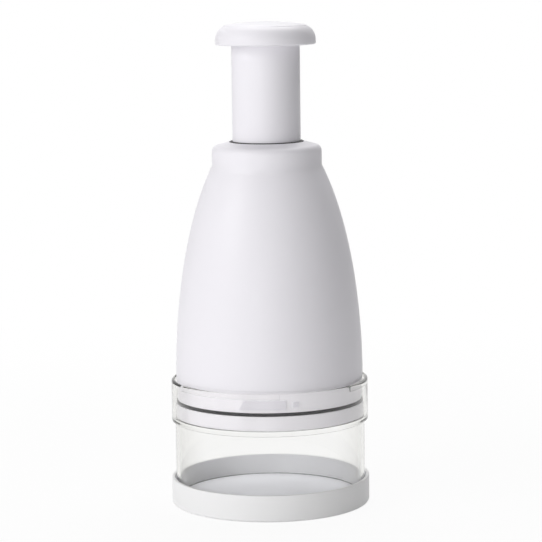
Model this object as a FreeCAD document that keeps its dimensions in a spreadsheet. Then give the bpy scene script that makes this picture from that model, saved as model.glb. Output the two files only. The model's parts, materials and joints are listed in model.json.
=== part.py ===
"""Plunger food chopper: a zigzag blade that turns a step at each press.

A parametric FreeCAD document in millimetres. +Z is up, the chopper stands on z = 0 and its axis
is the Z axis. Every driving size is a cell of the Sizes sheet, and the Levels sheet works out
the heights and radii that several pieces share. Each piece is a body whose Label names its file.
"""

import FreeCAD, Part
import Sketcher
import math
import os
import re
from FreeCAD import Placement, Rotation, Vector

SIZES = {
    # tray
    "tray_radius": 47.0,
    "tray_height": 12.6,
    "tray_wall": 1.6,
    "tray_floor": 2.2,
    "foot_rise": 0.8,
    "foot_width": 6.0,
    "tray_round": 1.3,
    "rim_round": 0.5,
    # clear cup
    "cup_slip": 0.4,
    "cup_wall": 1.8,
    "shoulder_height": 39.8,
    "shoulder_thickness": 2.2,
    "shoulder_round": 0.6,
    "mouth_step": 1.6,
    "mouth_wall": 1.6,
    "mouth_depth": 17.6,
    "mouth_round": 1.3,
    "cup_lug_edge": 0.3,
    "cup_lug_start": -66.0,
    "cup_lug_span": 71.8,
    # bell housing
    "bell_gap": 0.9,
    "bell_wall": 2.2,
    "bell_height": 100.0,
    "flange_inset": 0.4,
    "lug_slip": 0.4,
    "lug_proud": 0.8,
    "lug_play": 0.2,
    "lug_lift": 0.4,
    "lug_rise": 4.3,
    "lug_drop": 4.1,
    "lug_start": -18.5,
    "lug_span": 28.0,
    "lug_ramp": 2.8,
    "nub_start": 13.7,
    "nub_span": 3.4,
    "nub_rise": 2.4,
    "nub_lift": 1.0,
    "neck_shelf": 9.8,
    "neck_height": 9.0,
    "neck_plate": 2.6,
    "neck_round": 2.4,
    "neck_dome": 2.15,
    "neck_line": 1.4,
    # plunger
    "tube_radius": 16.0,
    "tube_wall": 2.0,
    "tube_lip": 1.0,
    "tube_lip_height": 3.5,
    "knob_rest": 4.65,
    # knob
    "knob_radius": 23.5,
    "knob_height": 10.7,
    "knob_shoulder": 7.3,
    "knob_crown": 120.0,
    "knob_wall": 2.2,
    "knob_core_depth": 4.7,
    "knob_web": 2.2,
    "knob_foot_round": 0.5,
    "plate_inset": 4.0,
    "plate_rim": 1.3,
    "plate_recess": 8.0,
    "plate_play": 0.3,
    "seam": 0.15,
    # guide frame and bush
    "slide_play": 0.1,
    "bush_wall": 2.8,
    "frame_play": 0.3,
    "frame_wall": 1.6,
    "frame_flange": 3.0,
    "bush_sink": 1.5,
    "frame_floor": 3.0,
    "well_step": 0.3,
    "well_wall": 2.2,
    "well_slope": 2.0,
    "window_width": 14.0,
    "window_height": 26.0,
    "bolt_edge": 1.8,
    "boss_radius": 2.4,
    "boss_depth": 5.9,
    "boss_play": 0.05,
    "screw_radius": 1.3,
    "screw_play": 0.2,
    "screw_head": 2.1,
    "screw_head_height": 1.6,
    "screw_end": 1.4,
    "fasteners": 3,
    # index spindle and ratchet
    "spindle_radius": 3.0,
    "journal_play": 0.1,
    "collar_step": 1.8,
    "collar_height": 3.2,
    "rib_depth": 1.6,
    "rib_width": 1.8,
    "rib_play": 0.25,
    "rib_gap": 1.4,
    "rib_spare": 2.18,
    "step_angle": 60.0,
    "ribs": 3,
    "washer_radius": 8.0,
    "washer_thickness": 0.8,
    "clip_radius": 5.0,
    "clip_thickness": 0.6,
    "clip_bite": 0.7,
    "clip_play": 0.1,
    "ratchet_wall": 3.4,
    "ratchet_play": 1.6,
    "ratchet_base": 2.0,
    "tooth_height": 1.0,
    "tooth_gap": 0.12,
    "tooth_margin": 0.3,
    "tooth_land": 0.1,
    "teeth": 12,
    "nut_height": 5.2,
    "cover_play": 1.1,
    "cover_wall": 1.5,
    "cover_foot": 1.5,
    "cover_room": 2.18,
    "cover_slip": 0.8,
    # springs
    "spring_wire": 1.1,
    "spring_play": 2.15,
    "spring_turns": 8,
    "pawl_wire": 0.6,
    "pawl_inset": 1.0,
    "pawl_turns": 2,
    # blade and hub
    "blade_gap": 3.2,
    "blade_spread": 30.0,
    "blade_runs": 5,
    "blade_thickness": 0.7,
    "blade_bend": 2.0,
    "blade_bevel": 1.6,
    "blade_lift": 0.5,
    "blade_tuck": 0.8,
    "hub_rim": 1.0,
    "hub_rest": 0.6,
    "hub_plate": 3.5,
    "hub_groove": 1.0,
    "groove_play": 0.1,
    "boss_wall": 2.6,
    "boss_height": 5.6,
    "hub_clear": 0.4,
    "hub_seat": 2.0,
    "drain_radius": 4.0,
    "drain_inset": 10.0,
    "drains": 6,
    # wiper ring, wiper disc and seal
    "ring_slip": 0.5,
    "ring_wall": 3.0,
    "ring_play": 0.2,
    "ring_height": 6.8,
    "ring_neck": 7.0,
    "ring_neck_wall": 1.4,
    "lip_hold": 2.0,
    "lip_height": 0.8,
    "catch_hold": 0.8,
    "disc_height": 2.2,
    "disc_play": 0.2,
    "disc_rim_play": 0.3,
    "slot_play": 0.6,
    "seal_height": 1.5,
    "seal_inset": 0.3,
    # how far joined shapes run into each other, and how far cuts run out of them
    "weld": 0.5,
    "overcut": 1.0,
}

LEVELS = {
    "floor_top": "foot_rise + tray_floor",
    "cup_radius": "tray_radius - tray_wall - cup_slip",
    "cup_bore": "cup_radius - cup_wall",
    "mouth_radius": "cup_radius + mouth_step",
    "mouth_bore": "mouth_radius - mouth_wall",
    "ledge_top": "shoulder_height + shoulder_thickness",
    "cup_top": "ledge_top + mouth_depth",
    "ring_radius": "mouth_bore - ring_slip",
    "ring_room": "ring_radius - ring_wall",
    "ring_foot": "ledge_top + ring_play",
    "ring_top": "ring_foot + ring_height",
    "seal_radius": "ring_radius - seal_inset",
    "disc_radius": "ring_room - disc_rim_play",
    "lip_radius": "disc_radius - lip_hold",
    "catch_radius": "disc_radius - catch_hold",
    "lip_top": "ring_foot + lip_height",
    "disc_foot": "lip_top + disc_play",
    "disc_top": "disc_foot + disc_height",
    "disc_room": "disc_top + disc_play",
    "blade_low": "floor_top + blade_lift",
    "blade_foot": "disc_foot + blade_tuck",
    "stroke": "blade_foot - blade_low",
    "blade_height": "disc_top + hub_rest + hub_groove - blade_low",
    "blade_radius": "lip_radius - blade_gap",
    "hub_radius": "blade_radius + hub_rim",
    "hub_foot": "blade_foot + blade_height - hub_groove",
    "hub_top": "hub_foot + hub_plate",
    "hub_boss": "spindle_radius + boss_wall",
    "boss_top": "hub_top + boss_height",
    "spindle_foot": "hub_foot + hub_seat",
    "drain_circle": "hub_radius - drain_inset",
    "lug_radius": "mouth_bore - lug_slip",
    "flange_radius": "lug_radius - lug_proud",
    "flange_bore": "flange_radius - bell_wall",
    "flange_foot": "ring_top + seal_height",
    "bell_radius": "flange_radius + flange_inset",
    "bell_bore": "bell_radius - bell_wall",
    "bell_foot": "cup_top + bell_gap",
    "lug_top": "bell_foot - lug_drop",
    "lug_foot": "lug_top - lug_rise",
    "neck_fit": "flange_bore - slide_play",
    "ring_bore": "neck_fit - ring_neck_wall",
    "neck_radius": "tube_radius + neck_shelf",
    "neck_bore": "neck_radius - bell_wall",
    "neck_hole": "tube_radius + neck_line",
    "neck_foot": "bell_foot + bell_height",
    "neck_top": "neck_foot + neck_height",
    "neck_rim": "neck_top + neck_dome",
    "neck_inside": "neck_top - neck_plate",
    "outer_rise": "bell_height / sqrt(1 - (neck_radius / bell_radius) ^ 2)",
    "inner_rise": "bell_height / sqrt(1 - (neck_bore / bell_bore) ^ 2)",
    "bush_bore": "tube_radius + slide_play",
    "bush_radius": "tube_radius + bush_wall",
    "frame_top": "neck_inside - boss_depth",
    "flange_under": "frame_top - frame_flange",
    "bush_foot": "frame_top - bush_sink",
    "lip_reach": "tube_radius + tube_lip",
    "frame_bore": "lip_reach + frame_play",
    "frame_radius": "frame_bore + frame_wall",
    "frame_rim": "neck_bore - frame_play",
    "frame_bottom": "boss_top + hub_clear",
    "frame_hole": "hub_boss + hub_clear",
    "frame_deck": "frame_bottom + frame_floor",
    "bolt_circle": "frame_rim - bolt_edge",
    "tube_bore": "tube_radius - tube_wall",
    "tube_foot": "bush_foot - tube_lip_height",
    "stop_ledge": "tube_foot - stroke",
    "well_top": "stop_ledge - frame_wall",
    "well_radius": "tube_bore + well_step",
    "well_outer": "well_radius + well_wall",
    "knob_foot": "neck_rim + stroke + knob_rest",
    "knob_top": "knob_foot + knob_height",
    "plate_radius": "knob_radius - plate_inset",
    "shoulder_centre": "knob_radius - knob_shoulder",
    "crown_centre": "knob_top - knob_crown",
    "shoulder_level": "crown_centre + sqrt((knob_crown - knob_shoulder) ^ 2 - shoulder_centre ^ 2)",
    "seam_level": "shoulder_level + sqrt(knob_shoulder ^ 2 - (plate_radius - shoulder_centre) ^ 2)",
    "blend_radius": "shoulder_centre * knob_crown / (knob_crown - knob_shoulder)",
    "blend_level": "crown_centre + sqrt(knob_crown ^ 2 - blend_radius ^ 2)",
    "web_top": "seam_level - plate_rim",
    "web_foot": "web_top - knob_web",
    "clip_low": "web_top + clip_play",
    "clip_high": "clip_low + clip_thickness",
    "collar_radius": "spindle_radius + collar_step",
    "collar_top": "web_foot - washer_thickness",
    "journal_radius": "spindle_radius - journal_play",
    "spindle_top": "clip_high + clip_thickness",
    "plate_inside": "spindle_top + plate_play",
    "lead": "stroke * 360 / step_angle",
    "rib_reach": "spindle_radius + rib_depth",
    "rib_start": "boss_top + rib_gap",
    "cover_radius": "tube_bore - cover_play",
    "cover_bore": "cover_radius - cover_wall",
    "cover_hole": "rib_reach + cover_slip",
    "ratchet_outer": "cover_bore - ratchet_play",
    "ratchet_inner": "ratchet_outer - ratchet_wall",
    "tooth_reach": "ratchet_inner + tooth_margin",
    "teeth_foot": "frame_deck + ratchet_base",
    "nut_foot": "teeth_foot + tooth_height + tooth_gap",
    "nut_top": "nut_foot + nut_height",
    "rib_height": "nut_top + stroke + rib_spare - rib_start",
    "cover_roof": "nut_top + cover_room",
    "cover_top": "cover_roof + cover_wall",
    "spring_radius": "tube_bore - spring_play - spring_wire / 2",
    "pawl_radius": "ratchet_inner + pawl_inset",
}

FRONT = -90.0
COIL_RUNS = 12
WIRE_SIDES = 6

doc = FreeCAD.newDocument("plunger_food_chopper")


# ---------------------------------------------------------------- sheets and formulas

def named(formula, own=()):
    """The formula with each size and level named on its sheet."""
    def sheet_of(match):
        word = match.group(0)
        if word in own:
            return word
        if word in SIZES:
            return "Sizes." + word
        return "Levels." + word if word in LEVELS else word
    return re.sub(r"[a-z_]+", sheet_of, formula)


def make_sheet(name, cells, own=()):
    sheet = doc.addObject("Spreadsheet::Sheet", name)
    for row, (alias, content) in enumerate(cells.items(), 1):
        sheet.set("A%d" % row, alias)
        text = "=" + named(content, own) if isinstance(content, str) else str(content)
        sheet.set("B%d" % row, text)
        sheet.setAlias("B%d" % row, alias)
    return sheet


sizes = make_sheet("Sizes", SIZES)
levels = make_sheet("Levels", LEVELS, own=LEVELS)
doc.recompute()


def value(formula):
    """The number that a formula comes to."""
    return float(levels.evalExpression(named(str(formula), own=LEVELS)))


def bind(item, path, formula):
    item.setExpression(path, named(str(formula)))


# ---------------------------------------------------------------- bodies and sketches

def new_body(label):
    body = doc.addObject("PartDesign::Body", label)
    body.Label = label
    return body


def new_sketch(body, name, role="XZ_Plane", height="0", turn="0"):
    """A sketch on an origin plane, lifted along its normal or turned about its upright axis."""
    sketch = body.newObject("Sketcher::SketchObject", name)
    plane = next(f for f in body.Origin.OriginFeatures if f.Role == role)
    sketch.AttachmentSupport = (plane, "")
    sketch.MapMode = "FlatFace"
    sketch.AttachmentOffset = Placement(Vector(0, 0, value(height)),
                                        Rotation(Vector(0, 1, 0), value(turn)))
    bind(sketch, ".AttachmentOffset.Base.z", height)
    if turn != "0":
        bind(sketch, ".AttachmentOffset.Rotation.Angle", turn)
    return sketch


def hold(sketch, kind, *args, formula=None):
    """Add one constraint, with its size bound to a formula when it has one."""
    if formula is None:
        return sketch.addConstraint(Sketcher.Constraint(kind, *args))
    index = sketch.addConstraint(Sketcher.Constraint(kind, *args, value(formula)))
    bind(sketch, "Constraints[%d]" % index, formula)
    return index


def hold_point(sketch, edge, end, x, y):
    """Fix a point of the sketch at two formulas from the origin."""
    for kind, axis, formula in (("DistanceX", -2, x), ("DistanceY", -1, y)):
        if str(formula) == "0":
            hold(sketch, "PointOnObject", edge, end, axis)
        else:
            hold(sketch, kind, -1, 1, edge, end, formula=formula)


def add_line(sketch, start, end):
    return sketch.addGeometry(Part.LineSegment(Vector(*start), Vector(*end))), 1, 2


def add_arc(sketch, start, end, radius):
    """An arc of the given radius that bulges to the right of the way from start to end."""
    span = Vector(end[0] - start[0], end[1] - start[1])
    bow = math.sqrt(value(radius) ** 2 - span.Length ** 2 / 4)
    left = Vector(-span.y, span.x).normalize()
    centre = Vector(*start) + span * 0.5 + left * bow
    angles = [math.atan2(y - centre.y, x - centre.x) for x, y in (start, end)]
    circle = Part.Circle(centre, Vector(0, 0, 1), value(radius))
    edge = sketch.addGeometry(Part.ArcOfCircle(circle, *angles))
    hold(sketch, "Radius", edge, formula=radius)
    return edge, 1, 2


def add_ellipse(sketch, start, end, foot, width, rise):
    """A quarter-ellipse stretch whose centre is on the axis, at the height of its foot."""
    centre = Vector(0, value(foot))
    ellipse = Part.Ellipse(centre + Vector(0, value(rise)), centre - Vector(value(width), 0), centre)
    low, high = sorted((start[1], end[1]))
    angles = [-math.acos(min(1.0, (level - centre.y) / value(rise))) for level in (low, high)]
    edge = sketch.addGeometry(Part.ArcOfEllipse(ellipse, *angles))
    axis = sketch.GeometryCount
    sketch.exposeInternalGeometry(edge)
    hold(sketch, "PointOnObject", edge, 3, -2)
    hold(sketch, "DistanceY", -1, 1, edge, 3, formula=foot)
    hold_point(sketch, axis, 1, "0", "%s + %s" % (foot, rise))
    right = 1 if sketch.Geometry[axis + 1].StartPoint.x > 0 else 2
    hold(sketch, "DistanceX", -1, 1, axis + 1, right, formula=width)
    return (edge, 1, 2) if start[1] < end[1] else (edge, 2, 1)


def add_outline(sketch, corners):
    """A closed outline. A corner is (x, y), or (x, y, bend) where the edge to it is bent.

    A bend is a radius, or a tuple of foot, width and rise for a stretch of an ellipse.
    """
    places = [(value(c[0]), value(c[1])) for c in corners]
    edges = []
    for index, corner in enumerate(corners):
        start, end = places[index - 1], places[index]
        bend = corner[2] if len(corner) > 2 else None
        if bend is None:
            edges.append(add_line(sketch, start, end))
        elif isinstance(bend, tuple):
            edges.append(add_ellipse(sketch, start, end, *bend))
        else:
            edges.append(add_arc(sketch, start, end, bend))
    for index, (edge, _, last) in enumerate(edges):
        following, first, _ = edges[(index + 1) % len(edges)]
        hold(sketch, "Coincident", edge, last, following, first)
    on_ellipse = [len(c) > 2 and isinstance(c[2], tuple) for c in corners]
    for index, ((edge, _, last), corner) in enumerate(zip(edges, corners)):
        if on_ellipse[index] or on_ellipse[(index + 1) % len(corners)]:
            hold(sketch, "DistanceY", -1, 1, edge, last, formula=corner[1])
        else:
            hold_point(sketch, edge, last, *corner[:2])


def add_circle(sketch, x, y, radius):
    circle = Part.Circle(Vector(value(x), value(y)), Vector(0, 0, 1), value(radius))
    edge = sketch.addGeometry(circle)
    hold(sketch, "Radius", edge, formula=radius)
    hold_point(sketch, edge, 3, x, y)


def box_corners(left, right, low, high):
    return [(left, low), (right, low), (right, high), (left, high)]


def feature(body, kind, name, **settings):
    """A PartDesign feature at the tip of the body. Text that the feature reads as a size is bound."""
    item = body.newObject("PartDesign::" + kind, name)
    for key, setting in settings.items():
        if isinstance(setting, str) and key not in ("Mode", "Transition"):
            bind(item, key, setting)
        else:
            setattr(item, key, setting)
    body.Tip = item
    doc.recompute()
    return item


def turn(body, name, corners, cut=False):
    """Turn an outline a full circle about the Z axis."""
    sketch = new_sketch(body, name + "_outline")
    add_outline(sketch, corners)
    kind = "Groove" if cut else "Revolution"
    return feature(body, kind, name, Profile=sketch, ReferenceAxis=(sketch, ["V_Axis"]), Angle=360)


def turn_part_way(body, name, corners, start, span):
    """Turn an outline through part of a circle, from the angle that start gives."""
    sketch = new_sketch(body, name + "_outline", turn=start)
    add_outline(sketch, corners)
    return feature(body, "Revolution", name, Profile=sketch,
                   ReferenceAxis=(sketch, ["V_Axis"]), Angle=span)


def repeat(body, name, originals, count):
    """Repeat features evenly about the Z axis."""
    axis = next(f for f in body.Origin.OriginFeatures if f.Role == "Z_Axis")
    return feature(body, "PolarPattern", name, Originals=originals, Axis=(axis, ""),
                   Angle=360, Occurrences=count)


def round_rims(body, name, radius, rims):
    """Round the circular edges that have these radii and heights."""
    tip = body.Tip
    places = [(value(r), value(z)) for r, z in rims]
    picked = []
    for index, edge in enumerate(tip.Shape.Edges, 1):
        curve = edge.Curve
        if isinstance(curve, Part.Circle) and any(
                abs(curve.Radius - r) < 1e-4 and abs(curve.Center.z - z) < 1e-4 for r, z in places):
            picked.append("Edge%d" % index)
    return feature(body, "Fillet", name, Base=(tip, picked), Radius=radius)


# ---------------------------------------------------------------- tray and cup

def base_tray():
    """The white tray that the cup stands in, with a narrow foot ring underneath."""
    body = new_body("base_tray")
    foot_inner = "tray_radius - foot_width"
    rim_inner = "tray_radius - tray_wall"
    turn(body, "Dish", [
        ("0", "foot_rise"), (foot_inner, "foot_rise"), (foot_inner, "0"), ("tray_radius", "0"),
        ("tray_radius", "tray_height"), (rim_inner, "tray_height"), (rim_inner, "floor_top"),
        ("0", "floor_top")])
    round_rims(body, "FootRound", "tray_round", [("tray_radius", "0")])
    round_rims(body, "RimRound", "rim_round",
               [("tray_radius", "tray_height"), (rim_inner, "tray_height")])


def clear_cup():
    """The open clear sleeve: a straight wall, a shoulder and a wider mouth with bayonet lugs."""
    body = new_body("clear_cup")
    turn(body, "Wall", [
        ("cup_bore", "floor_top"), ("cup_radius", "floor_top"), ("cup_radius", "shoulder_height"),
        ("mouth_radius", "shoulder_height"), ("mouth_radius", "cup_top"), ("mouth_bore", "cup_top"),
        ("mouth_bore", "ledge_top"), ("cup_bore", "ledge_top")])
    lug = turn_part_way(body, "Lug", box_corners("flange_radius + lug_play", "mouth_bore + weld",
                                                 "lug_top + lug_lift", "cup_top - cup_lug_edge"),
                        "%g + cup_lug_start" % FRONT, "cup_lug_span")
    repeat(body, "Lugs", [lug], "fasteners")
    round_rims(body, "MouthRound", "mouth_round", [("mouth_radius", "cup_top")])
    round_rims(body, "ShoulderRound", "shoulder_round", [("mouth_radius", "shoulder_height")])


# ---------------------------------------------------------------- housing

def bell_housing():
    """The bell: a quarter-ellipse shell, a short neck with a domed top and a bayonet flange."""
    body = new_body("bell_housing")
    turn(body, "Shell", [
        ("flange_bore", "flange_foot"), ("flange_radius", "flange_foot"),
        ("flange_radius", "bell_foot"), ("bell_radius", "bell_foot"),
        ("neck_radius", "neck_foot", ("bell_foot", "bell_radius", "outer_rise")),
        ("neck_radius", "neck_top"), ("neck_hole", "neck_rim"), ("neck_hole", "neck_inside"),
        ("neck_bore", "neck_inside"), ("neck_bore", "neck_foot"),
        ("bell_bore", "bell_foot", ("bell_foot", "bell_bore", "inner_rise")),
        ("flange_bore", "bell_foot")])
    lug = turn_part_way(body, "Lug", box_corners("flange_radius - weld", "lug_radius",
                                                 "lug_foot", "lug_top"),
                        "%g + lug_start" % FRONT, "lug_span")
    nub_foot = "lug_foot + nub_lift"
    nub = turn_part_way(body, "Nub", box_corners("flange_radius - weld", "lug_radius",
                                                 nub_foot, nub_foot + " + nub_rise"),
                        "%g + nub_start" % FRONT, "nub_span")
    ramp_outline = new_sketch(body, "Ramp_outline", "XZ_Plane", "flange_radius * cos(lug_start)",
                              "lug_start")
    bind(ramp_outline, ".AttachmentOffset.Base.x", "flange_radius * sin(lug_start)")
    add_outline(ramp_outline, [("-overcut", "lug_foot"), ("0", "lug_foot"),
                               ("lug_ramp", "lug_top + overcut"),
                               ("-overcut", "lug_top + overcut")])
    ramp = feature(body, "Pocket", "Ramp", Profile=ramp_outline, Length="lug_proud + overcut",
                   Reversed=True)
    repeat(body, "Bayonet", [lug, nub, ramp], "fasteners")
    boss_outline = new_sketch(body, "Boss_outline", "XY_Plane", "frame_top")
    add_circle(boss_outline, "bolt_circle", "0", "boss_radius")
    add_circle(boss_outline, "bolt_circle", "0", "screw_radius + boss_play")
    boss = feature(body, "Pad", "Boss", Profile=boss_outline, Length="boss_depth + weld")
    repeat(body, "Bosses", [boss], "fasteners")
    round_rims(body, "NeckRound", "neck_round", [("neck_radius", "neck_top")])


def neck_bush():
    """The plain ring that guides the plunger tube, dropped into the frame's counterbore."""
    body = new_body("neck_bush")
    turn(body, "Ring", box_corners("bush_bore", "bush_radius", "bush_foot", "neck_inside"))


def guide_frame():
    """The tube under the neck: a bolted flange, an open guide, a stop ledge and a closed well."""
    body = new_body("guide_frame")
    counterbore = "bush_radius + slide_play"
    turn(body, "Tube", [
        ("frame_hole", "frame_bottom"), ("well_outer", "frame_bottom"),
        ("well_outer", "well_top - well_slope"), ("frame_radius", "well_top"),
        ("frame_radius", "flange_under"), ("frame_rim", "flange_under"), ("frame_rim", "frame_top"),
        (counterbore, "frame_top"), (counterbore, "bush_foot"), ("frame_bore", "bush_foot"),
        ("frame_bore", "stop_ledge"), ("well_radius", "stop_ledge"), ("well_radius", "frame_deck"),
        ("frame_hole", "frame_deck")])
    window_outline = new_sketch(body, "Window_outline")
    low = "(stop_ledge + flange_under - window_height) / 2"
    add_outline(window_outline, box_corners("-window_width / 2", "window_width / 2",
                                            low, low + " + window_height"))
    window = feature(body, "Pocket", "Window", Profile=window_outline, Length="frame_radius + overcut",
                     Reversed=True)
    hole_outline = new_sketch(body, "Hole_outline", "XY_Plane", "frame_top")
    add_circle(hole_outline, "bolt_circle", "0", "screw_radius + screw_play")
    hole = feature(body, "Pocket", "Hole", Profile=hole_outline, Length="frame_flange + overcut")
    repeat(body, "Openings", [window, hole], "fasteners")


def frame_screws():
    """The screws that hold the frame to the bosses inside the neck."""
    body = new_body("frame_screws")
    body.AllowCompound = True
    head_outline = new_sketch(body, "Head_outline", "XY_Plane", "flange_under - screw_head_height")
    add_circle(head_outline, "bolt_circle", "0", "screw_head")
    head = feature(body, "Pad", "Head", Profile=head_outline, Length="screw_head_height")
    shank_outline = new_sketch(body, "Shank_outline", "XY_Plane", "flange_under - weld")
    add_circle(shank_outline, "bolt_circle", "0", "screw_radius")
    shank = feature(body, "Pad", "Shank", Profile=shank_outline,
                    Length="weld + frame_flange + boss_depth - screw_end")
    repeat(body, "Set", [head, shank], "fasteners")


def housing_seal():
    """The dark rubber ring between the bell's flange and the wiper ring."""
    body = new_body("housing_seal")
    turn(body, "Ring", box_corners("neck_fit + slide_play", "seal_radius",
                                   "ring_top", "flange_foot"))


def wiper_ring():
    """The ring that closes the bell and carries the wiper disc in an undercut."""
    body = new_body("wiper_ring")
    neck_end = "ring_top + ring_neck"
    catch_top = "disc_room + lip_height"
    turn(body, "Ring", [
        ("lip_radius", "ring_foot"), ("ring_radius", "ring_foot"), ("ring_radius", "ring_top"),
        ("neck_fit", "ring_top"), ("neck_fit", neck_end), ("ring_bore", neck_end),
        ("ring_bore", catch_top), ("catch_radius", catch_top), ("catch_radius", "disc_room"),
        ("ring_room", "disc_room"), ("ring_room", "lip_top"), ("lip_radius", "lip_top")])


# ---------------------------------------------------------------- plunger

def plunger_tube():
    """The white tube that shows above the neck, with the lip that stops it at both ends."""
    body = new_body("plunger_tube")
    lip_top = "tube_foot + tube_lip_height"
    turn(body, "Tube", [
        ("tube_bore", "tube_foot"), ("lip_reach", "tube_foot"), ("lip_reach", lip_top),
        ("tube_radius", lip_top), ("tube_radius", "web_foot"), ("tube_bore", "web_foot")])


def knob():
    """The mushroom knob: a rounded shoulder, a socket for the tube and a web for the spindle."""
    body = new_body("knob")
    socket = "tube_radius + slide_play"
    core_inner = "tube_radius + knob_wall"
    core_outer = "knob_radius - knob_wall"
    turn(body, "Shell", [
        (socket, "knob_foot"), (core_inner, "knob_foot"),
        (core_inner, "knob_foot + knob_core_depth"), (core_outer, "knob_foot + knob_core_depth"),
        (core_outer, "knob_foot"), ("knob_radius", "knob_foot"), ("knob_radius", "shoulder_level"),
        ("plate_radius", "seam_level", "knob_shoulder"), ("plate_radius", "web_top"),
        ("spindle_radius", "web_top"), ("spindle_radius", "web_foot"), (socket, "web_foot")])
    round_rims(body, "FootRound", "knob_foot_round", [("knob_radius", "knob_foot")])


def knob_top_plate():
    """The domed disc that closes the knob over the spindle's clip."""
    body = new_body("knob_top_plate")
    rim = "plate_radius - seam"
    rim_level = "shoulder_level + sqrt(knob_shoulder ^ 2 - (%s - shoulder_centre) ^ 2)" % rim
    turn(body, "Disc", [
        ("plate_recess", "web_top"), (rim, "web_top"), (rim, rim_level),
        ("blend_radius", "blend_level", "knob_shoulder"), ("0", "knob_top", "knob_crown"),
        ("0", "plate_inside"), ("plate_recess", "plate_inside")])


# ---------------------------------------------------------------- index mechanism

def index_spindle():
    """The rod from the knob to the hub, with ribs that wind round it at the index lead."""
    body = new_body("index_spindle")
    collar_foot = "collar_top - collar_height"
    groove = "journal_radius - clip_bite"
    turn(body, "Rod", [
        ("0", "spindle_foot"), ("spindle_radius", "spindle_foot"), ("spindle_radius", collar_foot),
        ("collar_radius", collar_foot), ("collar_radius", "collar_top"),
        ("journal_radius", "collar_top"), ("journal_radius", "clip_low"), (groove, "clip_low"),
        (groove, "clip_high"), ("journal_radius", "clip_high"), ("journal_radius", "spindle_top"),
        ("0", "spindle_top")])
    rib_outline = new_sketch(body, "Rib_outline", "XY_Plane", "rib_start")
    add_outline(rib_outline, box_corners("spindle_radius - weld", "rib_reach",
                                         "-rib_width / 2", "rib_width / 2"))
    rib = feature(body, "AdditiveHelix", "Rib", Profile=rib_outline,
                  ReferenceAxis=(rib_outline, ["N_Axis"]), Mode="pitch-height-angle",
                  Pitch="lead", Height="rib_height", Angle=0)
    repeat(body, "Ribs", [rib], "ribs")


def add_teeth(body, name, corners):
    """A ring of straight saw teeth. A corner is (-1 or 1 for its side, height)."""
    outline = new_sketch(body, name + "_outline", "YZ_Plane", "tooth_reach")
    half = "(tooth_reach * tan(180 / teeth) - tooth_land)"
    add_outline(outline, [("%d * %s" % (side, half), level) for side, level in corners])
    tooth = feature(body, "Pad", name, Profile=outline,
                    Length="ratchet_outer - tooth_margin - tooth_reach")
    repeat(body, name + "_ring", [tooth], "teeth")


def ratchet_ring():
    """The fixed saw-toothed ring on the floor of the well."""
    body = new_body("ratchet_ring")
    turn(body, "Ring", box_corners("ratchet_inner", "ratchet_outer", "frame_deck", "teeth_foot"))
    add_teeth(body, "Tooth", [(-1, "teeth_foot"), (1, "teeth_foot"),
                              (1, "teeth_foot + tooth_height")])


def index_nut():
    """The nut whose slots turn the spindle on the way down and slip on the way up."""
    body = new_body("index_nut")
    turn(body, "Nut", box_corners("spindle_radius + rib_play", "ratchet_outer",
                                  "nut_foot", "nut_top"))
    slot_outline = new_sketch(body, "Slot_outline", "XY_Plane", "rib_start")
    add_outline(slot_outline, box_corners("spindle_radius - weld", "rib_reach + rib_play",
                                          "-rib_width / 2 - rib_play", "rib_width / 2 + rib_play"))
    slot = feature(body, "SubtractiveHelix", "Slot", Profile=slot_outline,
                   ReferenceAxis=(slot_outline, ["N_Axis"]), Mode="pitch-height-angle",
                   Pitch="lead", Height="nut_top - rib_start + overcut", Angle=0)
    repeat(body, "Slots", [slot], "ribs")
    add_teeth(body, "Tooth", [(-1, "nut_foot - tooth_height"), (1, "nut_foot"), (-1, "nut_foot")])


def nut_cover():
    """The cap over the nut, which is also the lower seat of the return spring."""
    body = new_body("nut_cover")
    foot_top = "frame_deck + cover_foot"
    foot_radius = "well_radius - slide_play"
    turn(body, "Cap", [
        ("cover_bore", "frame_deck"), (foot_radius, "frame_deck"), (foot_radius, foot_top),
        ("cover_radius", foot_top), ("cover_radius", "cover_top"), ("cover_hole", "cover_top"),
        ("cover_hole", "cover_roof"), ("cover_bore", "cover_roof")])


def thrust_washer():
    """The washer between the spindle's collar and the knob's web."""
    body = new_body("thrust_washer")
    turn(body, "Washer", box_corners("spindle_radius", "washer_radius", "collar_top", "web_foot"))


def rod_clip():
    """The ring that snaps into the spindle's groove on top of the web."""
    body = new_body("rod_clip")
    turn(body, "Clip", box_corners("journal_radius - clip_bite", "clip_radius",
                                   "clip_low", "clip_high"))


def coil(label, wire, radius, turns, low, high):
    """A coil spring of short straight runs."""
    half = value(wire) / 2
    steps = round(COIL_RUNS * value(turns))
    rise = (value(high) - value(low) - 2 * half) / steps
    points = []
    for step in range(steps + 1):
        angle = 2 * math.pi * step / COIL_RUNS
        points.append(Vector(value(radius) * math.cos(angle), value(radius) * math.sin(angle),
                             value(low) + half + rise * step))
    spin = Rotation(Vector(0, 0, 1), points[1] - points[0])
    corners = [2 * math.pi * corner / WIRE_SIDES for corner in range(WIRE_SIDES + 1)]
    section = [points[0] + spin.multVec(Vector(half * math.cos(c), half * math.sin(c), 0))
               for c in corners]
    path = Part.makePolygon(points)
    spring = doc.addObject("Part::Feature", label)
    spring.Label = label
    spring.Shape = path.makePipeShell([Part.makePolygon(section)], True, False, 1)


# ---------------------------------------------------------------- blade, hub and wiper disc

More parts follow.
